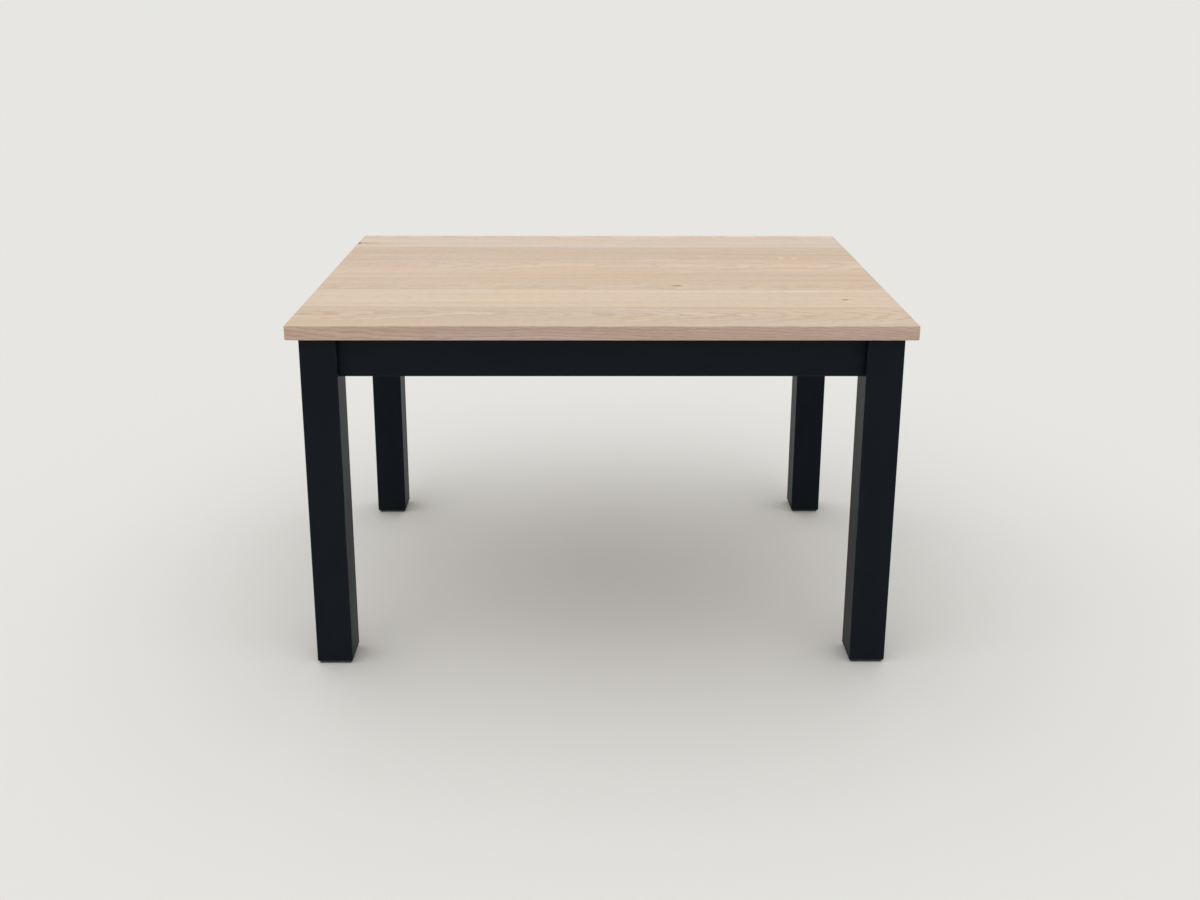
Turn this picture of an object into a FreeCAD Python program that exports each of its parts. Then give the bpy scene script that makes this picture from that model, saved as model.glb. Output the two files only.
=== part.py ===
import FreeCAD, Part
import math
import os

from FreeCAD import Vector

# Dining table: a top of glued oak boards on a painted frame of four square legs and four aprons.
# Lengths are in millimetres. +X runs along the length of the top, +Y from its front to its back
# and +Z up. The origin lies on the floor, under the middle of the table.

# Whole table
table_length = 1260.0
table_width = 870.0
table_height = 760.0

# Top, glued from boards that run along the table
top_thickness = 30.0
top_overhang = 22.0
top_corner_radius = 4.0
top_arris_radius = 2.5
top_board_count = 6

# Loose tongues in the seams between the boards
tongue_width = 20.0
tongue_thickness = 6.0
tongue_end_margin = 40.0
tongue_edge_chamfer = 0.8
tongue_play = 0.4

# Square legs
leg_size = 75.0
leg_edge_radius = 2.0
leg_foot_chamfer = 1.5
leg_corner_cut = 20.0

# Felt pads under the legs, with their corners cut
pad_thickness = 6.0
pad_inset = 3.0
pad_corner_cut = 4.0

# Aprons between the legs
apron_height = 88.0
apron_thickness = 22.0
apron_setback = 18.0
apron_edge_chamfer = 1.5

# Loose tenons, half in a leg and half in the end of an apron
tenon_length = 40.0
tenon_width = 50.0
tenon_thickness = 8.0
tenon_end_chamfer = 1.0
tenon_play = 0.5

# Batten across the middle of the top, dovetailed down into the long aprons
batten_width = 60.0
batten_height = 22.0
batten_edge_chamfer = 2.0
batten_slot_travel = 8.0
tail_neck_width = 40.0
tail_end_width = 52.0
tail_length = 12.0
tail_end_gap = 0.4

# Corner brackets of pressed steel sheet
bracket_thickness = 2.0
bracket_height = 60.0
bracket_leg_gap = 14.0
bracket_wing_length = 42.0
bracket_lip_depth = 7.0
bracket_bend_radius = 1.0
bracket_screw_spacing = 30.0
kerf_play = 0.5

# Hanger bolts, one through each corner bracket, with their washers and nuts
bolt_diameter = 8.0
bolt_length = 90.0
bolt_leg_depth = 55.0
bolt_end_gap = 0.5
bolt_tip_length = 7.0
bolt_clearance = 0.15
washer_diameter = 24.0
washer_thickness = 1.6
nut_width = 13.0
nut_height = 6.5

# Clips that hold the top down on the aprons
clip_thickness = 1.5
clip_width = 20.0
clip_drop = 9.5
clip_tongue_depth = 8.0
clip_riser_gap = 3.0
clip_pad_length = 20.0
clip_bend_cut = 0.8
clip_slot_height = 3.5
clip_slot_depth = 10.0
clip_slot_play = 3.0
clips_per_long_apron = 2

# Wood screws, drawn with six sides: across the flats of the head and the shank, then lengths
screw_head_width = 8.5
screw_head_crown_width = 6.0
screw_head_height = 2.6
screw_width = 4.2
screw_point_width = 1.0
screw_point_length = 4.0
screw_clearance = 0.2
screw_end_gap = 0.8
bracket_screw_length = 16.0
clip_screw_length = 14.0
batten_screw_length = 35.0

# How far a cutting shape runs past the face that it cuts, and when two places are the same
cut_overrun = 2.0
same_place = 0.001

# Counts and angles
hexagon_side_count = 6
full_turn = 360.0
half_turn = full_turn / 2
quarter_turn = full_turn / 4

# Heights
top_underside = table_height - top_thickness
apron_bottom = top_underside - apron_height
apron_middle = top_underside - apron_height / 2

# The outer corner of the front left leg, and the frame's depths measured inwards from it
leg_outer_x = top_overhang - table_length / 2
leg_outer_y = top_overhang - table_width / 2
apron_centre = apron_setback + apron_thickness / 2
apron_inner = apron_setback + apron_thickness
span_long = table_length - 2 * top_overhang - 2 * leg_size
span_short = table_width - 2 * top_overhang - 2 * leg_size
inner_length = table_length - 2 * top_overhang - 2 * apron_inner
inner_width = table_width - 2 * top_overhang - 2 * apron_inner
board_width = table_width / top_board_count

# The bracket's web crosses the corner at 45 degrees, so each of its faces is a line on which the
# two depths have a constant sum
root_two = math.sqrt(2)
leg_cut_sum = 2 * leg_size - leg_corner_cut
web_outer_sum = leg_cut_sum + bracket_leg_gap * root_two
web_inner_sum = web_outer_sum + bracket_thickness * root_two
wing_start = web_inner_sum - apron_inner - bracket_thickness
lip_far = wing_start + bracket_wing_length
lip_near = lip_far - bracket_thickness

# Half the width across the corners of a six-sided screw shank
screw_corner_radius = screw_width / 2 / math.cos(math.pi / hexagon_side_count)

axis_x = Vector(1, 0, 0)
axis_y = Vector(0, 1, 0)
axis_z = Vector(0, 0, 1)
diagonal = Vector(1, 1, 0).normalize()

corners = {
    "front_left": (),
    "front_right": (axis_x,),
    "back_left": (axis_y,),
    "back_right": (axis_x, axis_y),
}


def block(low, high):
    """Return a box between its lowest and its highest corner."""
    return Part.makeBox(high.x - low.x, high.y - low.y, high.z - low.z, low)


def prism(outline, rise):
    """Return a closed outline extruded along a vector."""
    return Part.Face(Part.makePolygon(outline + outline[:1])).extrude(rise)


def turned(half_outline):
    """Return the solid that a half outline of (radius, height) pairs makes about Z."""
    points = [Vector(radius, 0, height) for radius, height in half_outline]
    face = Part.Face(Part.makePolygon(points + points[:1]))
    return face.revolve(Vector(0, 0, 0), axis_z, full_turn)


def placed(shape, base, direction):
    """Return a copy of a shape made along Z that starts at a point and runs along a direction."""
    copy = shape.copy()
    copy.Placement = FreeCAD.Placement(base, FreeCAD.Rotation(axis_z, direction))
    return copy


def mirrored(shape, normals):
    """Return a shape mirrored through the middle of the table, once for each plane normal."""
    for normal in normals:
        shape = shape.mirror(Vector(0, 0, 0), normal)
    return shape


def at_corners(shapes):
    """Return the shapes of the front left corner at all four corners, as one group."""
    group = []
    for normals in corners.values():
        group.extend(mirrored(shape, normals) for shape in shapes)
    return Part.makeCompound(group)


def edges_along(shape, direction):
    """Return the straight edges that run along a direction."""
    chosen = []
    for edge in shape.Edges:
        straight = isinstance(edge.Curve, Part.Line)
        if straight and edge.Curve.Direction.cross(direction).Length < same_place:
            chosen.append(edge)
    return chosen


def edges_at_height(shape, height):
    """Return the edges whose ends both lie at a height."""
    chosen = []
    for edge in shape.Edges:
        if all(abs(vertex.Z - height) < same_place for vertex in edge.Vertexes):
            chosen.append(edge)
    return chosen


def upright_edges_at(shape, plan_points):
    """Return the upright edges that stand on the given plan points."""
    chosen = []
    for edge in edges_along(shape, axis_z):
        foot = edge.Vertexes[0]
        if any(math.hypot(foot.X - point.x, foot.Y - point.y) < same_place for point in plan_points):
            chosen.append(edge)
    return chosen


def spread(count, span):
    """Return evenly spaced places about zero, each in the middle of its part of the span."""
    return [span * (2 * index + 1 - count) / (2 * count) for index in range(count)]


def corner_point(depth_x, depth_y, height):
    """Return a point given by its depths inwards from the front left leg's outer corner."""
    return Vector(leg_outer_x + depth_x, leg_outer_y + depth_y, height)


def swapped(shape):
    """Return a shape of the front left corner with its two depths exchanged."""
    return shape.mirror(corner_point(0, 0, 0), Vector(1, -1, 0))


# Six-sided wood screws, and the holes that they fill

def hexagon_ring(width, height):
    """Return the corners of a level hexagon by its width across the flats."""
    radius = width / 2 / math.cos(math.pi / hexagon_side_count)
    turns = [2 * math.pi * side / hexagon_side_count for side in range(hexagon_side_count)]
    return [Vector(radius * math.cos(turn), radius * math.sin(turn), height) for turn in turns]


def hexagon(width, low, high):
    """Return an upright hexagonal prism between two heights."""
    return prism(hexagon_ring(width, low), axis_z * (high - low))


def hexagonal_spindle(profile):
    """Return a solid of one six-sided skin, by (width, height) pairs from its low end up."""
    rings = [hexagon_ring(width, height) for width, height in profile]
    outlines = [rings[0], rings[-1]]
    for lower, upper in zip(rings, rings[1:]):
        for side in range(hexagon_side_count):
            outlines.append([lower[side - 1], lower[side], upper[side], upper[side - 1]])
    faces = [Part.Face(Part.makePolygon(outline + outline[:1])) for outline in outlines]
    skin = Part.makeShell(faces)
    skin.sewShape()
    return Part.makeSolid(skin)


def wood_screw(length):
    """Return a screw with the underside of its head at zero and its point up Z."""
    neck = length - screw_point_length
    profile = [
        (screw_head_crown_width, -screw_head_height),
        (screw_head_width, 0),
        (screw_width, 0),
        (screw_width, neck),
        (screw_point_width, length),
    ]
    return hexagonal_spindle(profile)


def screw_hole(length):
    """Return the hole that a screw cuts for itself, open under the screw's head."""
    return hexagon(screw_width, -cut_overrun, length + screw_end_gap)


def sheet_hole(thickness):
    """Return the clearance hole for a screw through a sheet that lies under the screw's head."""
    return hexagon(screw_width + 2 * screw_clearance, -cut_overrun, thickness + cut_overrun)


# The top

def top_slab():
    """Return the whole top with its corners and arrises rounded."""
    low = Vector(-table_length / 2, -table_width / 2, top_underside)
    high = Vector(table_length / 2, table_width / 2, table_height)
    slab = block(low, high)
    slab = slab.makeFillet(top_corner_radius, edges_along(slab, axis_z))
    rims = edges_at_height(slab, top_underside) + edges_at_height(slab, table_height)
    return slab.makeFillet(top_arris_radius, rims)


def board_places():
    """Return how far the middle of each board lies from the middle of the top."""
    return spread(top_board_count, table_width)


def seam_places():
    """Return how far each seam between two boards lies from the middle of the top."""
    return [place + board_width / 2 for place in board_places()[:-1]]


def tongue_block(seam, play):
    """Return the loose tongue of a seam, or with play around it, the groove that holds it."""
    half_length = table_length / 2 - tongue_end_margin + play
    half_width = tongue_width / 2 + play
    middle = table_height - top_thickness / 2
    low = Vector(-half_length, seam - half_width, middle - tongue_thickness / 2)
    high = Vector(half_length, seam + half_width, middle + tongue_thickness / 2)
    return block(low, high)


def top_tongue(seam):
    """Return a loose tongue with its long edges eased."""
    strip = tongue_block(seam, 0)
    return strip.makeChamfer(tongue_edge_chamfer, edges_along(strip, axis_x))


def top_boards():
    """Return the boards from front to back, grooved for the tongues and holed for the screws."""
    slab = top_slab()
    cuts = [tongue_block(seam, tongue_play) for seam in seam_places()]
    cuts += [seated(clip_screw_hole(), seat) for seat in all_clip_seats()]
    cuts += [placed(screw_hole(batten_screw_length), seat, axis_z) for seat in batten_screw_seats()]
    boards = []
    for place in board_places():
        low = Vector(-table_length / 2, place - board_width / 2, top_underside)
        high = Vector(table_length / 2, place + board_width / 2, table_height)
        boards.append(slab.common(block(low, high)).cut(cuts))
    return boards


# The legs and their pads

def leg():
    """Return the front left leg, cut across its inner corner where the bolt pulls on it."""
    post = block(corner_point(0, 0, pad_thickness), corner_point(leg_size, leg_size, top_underside))
    post = post.makeFillet(leg_edge_radius, edges_along(post, axis_z))
    post = post.makeChamfer(leg_foot_chamfer, edges_at_height(post, pad_thickness))
    side = leg_size + cut_overrun
    outline = [
        corner_point(leg_cut_sum - side, side, apron_bottom),
        corner_point(side, leg_cut_sum - side, apron_bottom),
        corner_point(side, side, apron_bottom),
    ]
    corner = prism(outline, axis_z * (apron_height + cut_overrun))
    mortise = tenon_block(tenon_play)
    radius = bolt_diameter / 2 + bolt_clearance
    depth = bolt_leg_depth + bolt_end_gap
    hole = Part.makeCylinder(radius, depth + cut_overrun, bolt_point(-depth), diagonal)
    return post.cut([corner, mortise, swapped(mortise), hole])


def felt_pad():
    """Return the felt pad under the front left leg, with its corners cut."""
    low = corner_point(pad_inset, pad_inset, 0)
    high = corner_point(leg_size - pad_inset, leg_size - pad_inset, pad_thickness)
    pad = block(low, high)
    return pad.makeChamfer(pad_corner_cut, edges_along(pad, axis_z))


# The aprons and their loose tenons

def tenon_block(play):
    """Return the left tenon of the front apron, or with play at its ends, its two mortises."""
    low = corner_point(
        leg_size - tenon_length / 2 - play,
        apron_centre - tenon_thickness / 2,
        apron_middle - tenon_width / 2,
    )
    high = corner_point(
        leg_size + tenon_length / 2 + play,
        apron_centre + tenon_thickness / 2,
        apron_middle + tenon_width / 2,
    )
    return block(low, high)


def loose_tenons():
    """Return the two loose tenons of the front left leg, with their ends eased."""
    tenon = tenon_block(0)
    ends = edges_along(tenon, axis_y)
    tenon = tenon.makeChamfer(tenon_end_chamfer, ends)
    return [tenon, swapped(tenon)]


def apron_end_cuts():
    """Return what is cut from the left end of the front apron: mortise, kerf, screw holes."""
    kerf_low = corner_point(
        lip_near - bracket_bend_radius,
        apron_inner - bracket_lip_depth - kerf_play,
        apron_bottom - cut_overrun,
    )
    kerf_high = corner_point(
        lip_far + kerf_play,
        apron_inner + cut_overrun,
        top_underside + cut_overrun,
    )
    cuts = [tenon_block(tenon_play), block(kerf_low, kerf_high)]
    for seat in bracket_screw_seats():
        cuts.append(placed(screw_hole(bracket_screw_length), seat, -axis_y))
    return cuts


def apron_board(low, high, along):
    """Return a plain apron with its two lower edges eased."""
    board = block(low, high)
    lower = [edge for edge in edges_along(board, along) if edge.Vertexes[0].Z < apron_middle]
    return board.makeChamfer(apron_edge_chamfer, lower)


def front_apron():
    """Return the front apron, which holds two brackets, clips and the end of the batten."""
    low = corner_point(leg_size, apron_setback, apron_bottom)
    high = corner_point(leg_size + span_long, apron_inner, top_underside)
    cuts = [batten_tail(tail_end_gap, cut_overrun)]
    for cut in apron_end_cuts():
        cuts += [cut, mirrored(cut, [axis_x])]
    cuts += [seated(clip_slot(), seat) for seat in clip_seats()["front"]]
    return apron_board(low, high, axis_x).cut(cuts)


def left_apron():
    """Return the left apron, which holds two brackets and clips."""
    low = corner_point(apron_setback, leg_size, apron_bottom)
    high = corner_point(apron_inner, leg_size + span_short, top_underside)
    cuts = []
    for cut in apron_end_cuts():
        cuts += [swapped(cut), mirrored(swapped(cut), [axis_y])]
    cuts += [seated(clip_slot(), seat) for seat in clip_seats()["left"]]
    return apron_board(low, high, axis_y).cut(cuts)


# The batten under the top

def batten_tail(end_gap, top_gap):
    """Return the batten's front dovetail, or with gaps past its end and top, its housing."""
    bottom = top_underside - batten_height
    root = -inner_width / 2
    end = root - tail_length
    flare = (tail_end_width - tail_neck_width) / 2 / tail_length
    half_end = tail_end_width / 2 + flare * end_gap
    half_neck = tail_neck_width / 2
    outline = [
        Vector(-half_neck, root, bottom),
        Vector(half_neck, root, bottom),
        Vector(half_end, end - end_gap, bottom),
        Vector(-half_end, end - end_gap, bottom),
    ]
    return prism(outline, axis_z * (batten_height + top_gap))


def batten_screw_seats():
    """Return the seats of the batten's screw heads, under the middle of each inner board."""
    height = top_underside - batten_height
    return [Vector(0, place, height) for place in board_places()[1:-1]]


def batten_slot(seat):
    """Return a slot along the batten that leaves its screw free as the boards swell and shrink."""
    half_width = screw_corner_radius + screw_clearance
    half_length = half_width + batten_slot_travel / 2
    across = Vector(half_width, half_length, cut_overrun)
    return block(seat - across, seat + across + axis_z * batten_height)


def cross_batten():
    """Return the batten that keeps the boards of the top flat and ties the long aprons."""
    low = Vector(-batten_width / 2, -inner_width / 2, top_underside - batten_height)
    high = Vector(batten_width / 2, inner_width / 2, top_underside)
    batten = block(low, high)
    middle = top_underside - batten_height / 2
    lower = [edge for edge in edges_along(batten, axis_y) if edge.Vertexes[0].Z < middle]
    batten = batten.makeChamfer(batten_edge_chamfer, lower)
    tail = batten_tail(0, 0)
    batten = batten.fuse([tail, mirrored(tail, [axis_y])]).removeSplitter()
    return batten.cut([batten_slot(seat) for seat in batten_screw_seats()])


def batten_screws():
    """Return the screws of the batten, as one group."""
    screw = wood_screw(batten_screw_length)
    return Part.makeCompound([placed(screw, seat, axis_z) for seat in batten_screw_seats()])


# The corner joint: bracket, hanger bolt, washer, nut and screws

def bolt_point(distance):
    """Return a point at a distance from the leg's cut corner, along the hanger bolt."""
    depth = leg_cut_sum / 2
    return corner_point(depth, depth, apron_middle) + diagonal * distance


def hanger_bolt():
    """Return the hanger bolt of the front left corner, pointed at its end in the wood."""
    radius = bolt_diameter / 2
    outline = [(0, 0), (radius, bolt_tip_length), (radius, bolt_length), (0, bolt_length)]
    return placed(turned(outline), bolt_point(-bolt_leg_depth), diagonal)


def bolt_bore(thickness):
    """Return the clearance hole for a hanger bolt through something of a thickness."""
    return Part.makeCylinder(bolt_diameter / 2 + bolt_clearance, thickness)


def bolt_washer():
    """Return the washer of the front left corner, flat on the bracket's web."""
    ring = Part.makeCylinder(washer_diameter / 2, washer_thickness).cut(bolt_bore(washer_thickness))
    return placed(ring, bolt_point(bracket_leg_gap + bracket_thickness), diagonal)


def bolt_nut():
    """Return the hexagon nut of the front left corner, flat on its washer."""
    nut = hexagon(nut_width, 0, nut_height).cut(bolt_bore(nut_height))
    distance = bracket_leg_gap + bracket_thickness + washer_thickness
    return placed(nut, bolt_point(distance), diagonal)


def bracket_screw_seats():
    """Return the seats of the bracket's screw heads on the front apron's wing."""
    depth_x = (wing_start + lip_near) / 2
    depth_y = apron_inner + bracket_thickness
    heights = [apron_middle - bracket_screw_spacing / 2, apron_middle + bracket_screw_spacing / 2]
    return [corner_point(depth_x, depth_y, height) for height in heights]


def bracket_screws():
    """Return the screws of the front left bracket."""
    screws = [placed(wood_screw(bracket_screw_length), seat, -axis_y) for seat in bracket_screw_seats()]
    return screws + [swapped(screw) for screw in screws]


def corner_bracket():
    """Return the front left bracket: a web across the corner, two wings and two lips."""
    bottom = apron_middle - bracket_height / 2
    lip_end = apron_inner - bracket_lip_depth
    face = apron_inner + bracket_thickness

    def pair(depth_x, depth_y):
        return [corner_point(depth_x, depth_y, bottom), corner_point(depth_y, depth_x, bottom)]

    tip_near = pair(lip_near, lip_end)
    root_near = pair(lip_near, apron_inner)
    web_outer = pair(web_outer_sum - apron_inner, apron_inner)
    web_inner = pair(wing_start, face)
    root_far = pair(lip_far, face)
    tip_far = pair(lip_far, lip_end)
    outline = [tip_near[0], root_near[0], web_outer[0], web_outer[1], root_near[1], tip_near[1]]
    outline += [tip_far[1], root_far[1], web_inner[1], web_inner[0], root_far[0], tip_far[0]]
    sheet = prism(outline, axis_z * bracket_height)
    sheet = sheet.makeFillet(bracket_bend_radius, upright_edges_at(sheet, root_near + web_inner))
    outer_radius = bracket_bend_radius + bracket_thickness
    sheet = sheet.makeFillet(outer_radius, upright_edges_at(sheet, root_far + web_outer))
    bore = bolt_bore(bracket_thickness + 2 * cut_overrun)
    cuts = [placed(bore, bolt_point(bracket_leg_gap - cut_overrun), diagonal)]
    for seat in bracket_screw_seats():
        hole = placed(sheet_hole(bracket_thickness), seat, -axis_y)
        cuts += [hole, swapped(hole)]
    return sheet.cut(cuts)


# The clips: each is drawn at zero under the top, beside the inner face of the front apron

def clip_seats():
    """Return the seats of the clips on each apron, as turns and moves of the drawn clip."""
    face_y = inner_width / 2
    face_x = inner_length / 2
    along = spread(clips_per_long_apron, span_long)
    across = [board_places()[1], board_places()[-2]]

    def seat(x, y, angle):
        return FreeCAD.Placement(Vector(x, y, top_underside), FreeCAD.Rotation(axis_z, angle))

    return {
        "front": [seat(place, -face_y, 0) for place in along],
        "back": [seat(place, face_y, half_turn) for place in along],
        "left": [seat(-face_x, place, -quarter_turn) for place in across],
        "right": [seat(face_x, place, quarter_turn) for place in across],
    }


def all_clip_seats():
    """Return the seats of all the clips."""
    return [seat for side in clip_seats().values() for seat in side]


def seated(shape, seat):
    """Return a copy of a shape drawn beside the clip, moved to a seat."""
    copy = shape.copy()
    copy.Placement = seat.multiply(shape.Placement)
    return copy


def clip_slot():
    """Return the slot for a clip's tongue, longer than the clip is wide."""
    half_width = clip_width / 2 + clip_slot_play
    low = Vector(-half_width, -clip_slot_depth, -clip_drop - clip_slot_height)
    high = Vector(half_width, cut_overrun, -clip_drop)
    return block(low, high)


def clip_screw_seat():
    """Return the seat of the clip's screw head."""
    riser_far = clip_riser_gap + clip_thickness
    return Vector(0, riser_far + clip_pad_length / 2, -clip_thickness)


def clip_screw_hole():
    """Return the hole of the clip's screw in the top."""
    return placed(screw_hole(clip_screw_length), clip_screw_seat(), axis_z)


def clip_edges_at(strip, places):
    """Return the edges along X that pass the given places of the clip's profile."""
    chosen = []
    for edge in edges_along(strip, axis_x):
        end = edge.Vertexes[0]
        if any(math.hypot(end.Y - y, end.Z - z) < same_place for y, z in places):
            chosen.append(edge)
    return chosen


def top_clip():
    """Return a clip: a tongue in the apron's slot, a riser, and a pad flat under the top."""
    riser_near = clip_riser_gap
    riser_far = riser_near + clip_thickness
    pad_end = riser_far + clip_pad_length
    profile = [
        (-clip_tongue_depth, -clip_drop),
        (riser_near, -clip_drop),
        (riser_near, 0),
        (pad_end, 0),
        (pad_end, -clip_thickness),
        (riser_far, -clip_thickness),
        (riser_far, -clip_drop - clip_thickness),
        (-clip_tongue_depth, -clip_drop - clip_thickness),
    ]
    outline = [Vector(-clip_width / 2, y, z) for y, z in profile]
    strip = prism(outline, axis_x * clip_width)
    inside = [(riser_near, -clip_drop), (riser_far, -clip_thickness)]
    outside = [(riser_near, 0), (riser_far, -clip_drop - clip_thickness)]
    strip = strip.makeChamfer(clip_bend_cut, clip_edges_at(strip, inside))
    strip = strip.makeChamfer(clip_bend_cut + clip_thickness / 2, clip_edges_at(strip, outside))
    return strip.cut(placed(sheet_hole(clip_thickness), clip_screw_seat(), axis_z))


def top_clips():
    """Return all the clips, as one group."""
    return Part.makeCompound([seated(top_clip(), seat) for seat in all_clip_seats()])


def clip_screws():
    """Return the screws of all the clips, as one group."""
    screw = placed(wood_screw(clip_screw_length), clip_screw_seat(), axis_z)
    return Part.makeCompound([seated(screw, seat) for seat in all_clip_seats()])


def table_parts():
    """Return every sub-part of the table under its name."""
    parts = {}
    for number, board in enumerate(top_boards(), start=1):
        parts["top_board_%d" % number] = board
    for number, seam in enumerate(seam_places(), start=1):
        parts["top_tongue_%d" % number] = top_tongue(seam)
    for corner, normals in corners.items():
        parts["leg_" + corner] = mirrored(leg(), normals)
        parts["felt_pad_" + corner] = mirrored(felt_pad(), normals)
        parts["corner_bracket_" + corner] = mirrored(corner_bracket(), normals)
    parts["apron_front"] = front_apron()
    parts["apron_back"] = mirrored(front_apron(), [axis_y])
    parts["apron_left"] = left_apron()
    parts["apron_right"] = mirrored(left_apron(), [axis_x])
    parts["loose_tenons"] = at_corners(loose_tenons())
    parts["bracket_screws"] = at_corners(bracket_screws())
    parts["hanger_bolts"] = at_corners([hanger_bolt()])
    parts["bolt_washers"] = at_corners([bolt_washer()])
    parts["bolt_nuts"] = at_corners([bolt_nut()])
    parts["cross_batten"] = cross_batten()
    parts["batten_screws"] = batten_screws()
    parts["top_clips"] = top_clips()
    parts["clip_screws"] = clip_screws()
    return parts


def main():
    """Write each sub-part to its own file and print what it holds."""
    os.makedirs("parts", exist_ok=True)
    for name, shape in table_parts().items():
        shape.exportStep(os.path.join("parts", name + ".step"))
        print("%-28s %3d solids %12.1f mm3" % (name, len(shape.Solids), shape.Volume))


main()
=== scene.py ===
import logging
import math
from dataclasses import dataclass, field, replace
from enum import Enum
from typing import Any, Callable, Mapping, Optional, Sequence, Union

import bmesh
import bpy
from mathutils import Matrix, Vector


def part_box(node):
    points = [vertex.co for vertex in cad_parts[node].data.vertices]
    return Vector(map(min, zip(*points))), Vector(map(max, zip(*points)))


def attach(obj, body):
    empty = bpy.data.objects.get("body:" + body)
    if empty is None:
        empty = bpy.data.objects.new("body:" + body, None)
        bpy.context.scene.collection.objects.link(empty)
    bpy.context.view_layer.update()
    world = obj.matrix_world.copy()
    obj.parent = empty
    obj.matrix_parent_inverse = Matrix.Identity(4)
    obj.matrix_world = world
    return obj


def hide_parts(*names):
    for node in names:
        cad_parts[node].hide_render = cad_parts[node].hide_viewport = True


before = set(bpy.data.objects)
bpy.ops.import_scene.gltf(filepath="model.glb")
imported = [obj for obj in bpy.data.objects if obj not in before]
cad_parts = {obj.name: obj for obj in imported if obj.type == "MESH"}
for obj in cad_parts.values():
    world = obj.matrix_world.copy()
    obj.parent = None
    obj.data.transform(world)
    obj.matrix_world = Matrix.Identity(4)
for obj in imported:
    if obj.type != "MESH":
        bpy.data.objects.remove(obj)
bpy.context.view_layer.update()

# The looks of a dining table: a whitened oak top of six boards on a black painted frame, held
# together by steel corner brackets, clips and a batten. Lengths are in metres, in the frame's
# own axes: +X along the top, +Y from its front to its back, +Z up, and zero on the floor.

ROOT_BODY = "root"
MILLIMETRE = 0.001
SAME_PLACE = 0.00001
SMOOTH_ANGLE = 35.0
CORNERS = ("front_left", "front_right", "back_right", "back_left")

# The numbers of a Mix node's colour sockets
MIX_FIRST = 6
MIX_SECOND = 7
MIX_RESULT = 2

LOG = logging.getLogger("dining_table")

Triple = tuple[float, float, float]
Steps = tuple[float, float]
Settings = Mapping[str, Any]


# Shader arithmetic

class Signal:
    """A shader socket on which Python arithmetic adds Math nodes.

    Attributes:
        sheet: the node sheet that the socket belongs to.
        socket: the output socket itself.
    """

    def __init__(self, sheet: "NodeSheet", socket: bpy.types.NodeSocket) -> None:
        """Wrap an output socket of a sheet."""
        self.sheet = sheet
        self.socket = socket

    def __add__(self, other: "Quantity") -> "Signal":
        """Return self + other."""
        return self.sheet.math("ADD", self, other)

    def __sub__(self, other: "Quantity") -> "Signal":
        """Return self - other."""
        return self.sheet.math("SUBTRACT", self, other)

    def __rsub__(self, other: "Quantity") -> "Signal":
        """Return other - self."""
        return self.sheet.math("SUBTRACT", other, self)

    def __mul__(self, other: "Quantity") -> "Signal":
        """Return self * other."""
        return self.sheet.math("MULTIPLY", self, other)

    def __truediv__(self, other: "Quantity") -> "Signal":
        """Return self / other."""
        return self.sheet.math("DIVIDE", self, other)

    def __neg__(self) -> "Signal":
        """Return self with its sign changed."""
        return self.sheet.math("MULTIPLY", self, -1.0)

    def __abs__(self) -> "Signal":
        """Return self without its sign."""
        return self.sheet.math("ABSOLUTE", self)

    __radd__ = __add__
    __rmul__ = __mul__


Quantity = Union[Signal, float]
Colour = Union[Signal, Triple]
Place = tuple[Quantity, Quantity, Quantity]


@dataclass(frozen=True)
class NoiseKind:
    """A soft noise on a finish.

    Attributes:
        rates: its swells for each metre along the three axes.
        detail: how many finer layers lie on it.
        roughness: how strong each layer is beside the one before it.
        strength: the top of its range, which starts at 0.
    """

    rates: Triple
    detail: float = 2.0
    roughness: float = 0.5
    strength: float = 1.0

    @classmethod
    def even(cls, rate: float, detail: float = 2.0, roughness: float = 0.5) -> "NoiseKind":
        """Return a noise that is alike along all three axes."""
        return cls((rate, rate, rate), detail, roughness)

    def drawn_out(self, shares: Triple, least: float = 0.0) -> "NoiseKind":
        """Return this noise at a share of its rate along each axis, no share below the least."""
        rates = tuple(rate * max(share, least) for rate, share in zip(self.rates, shares))
        return replace(self, rates=rates)


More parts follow.
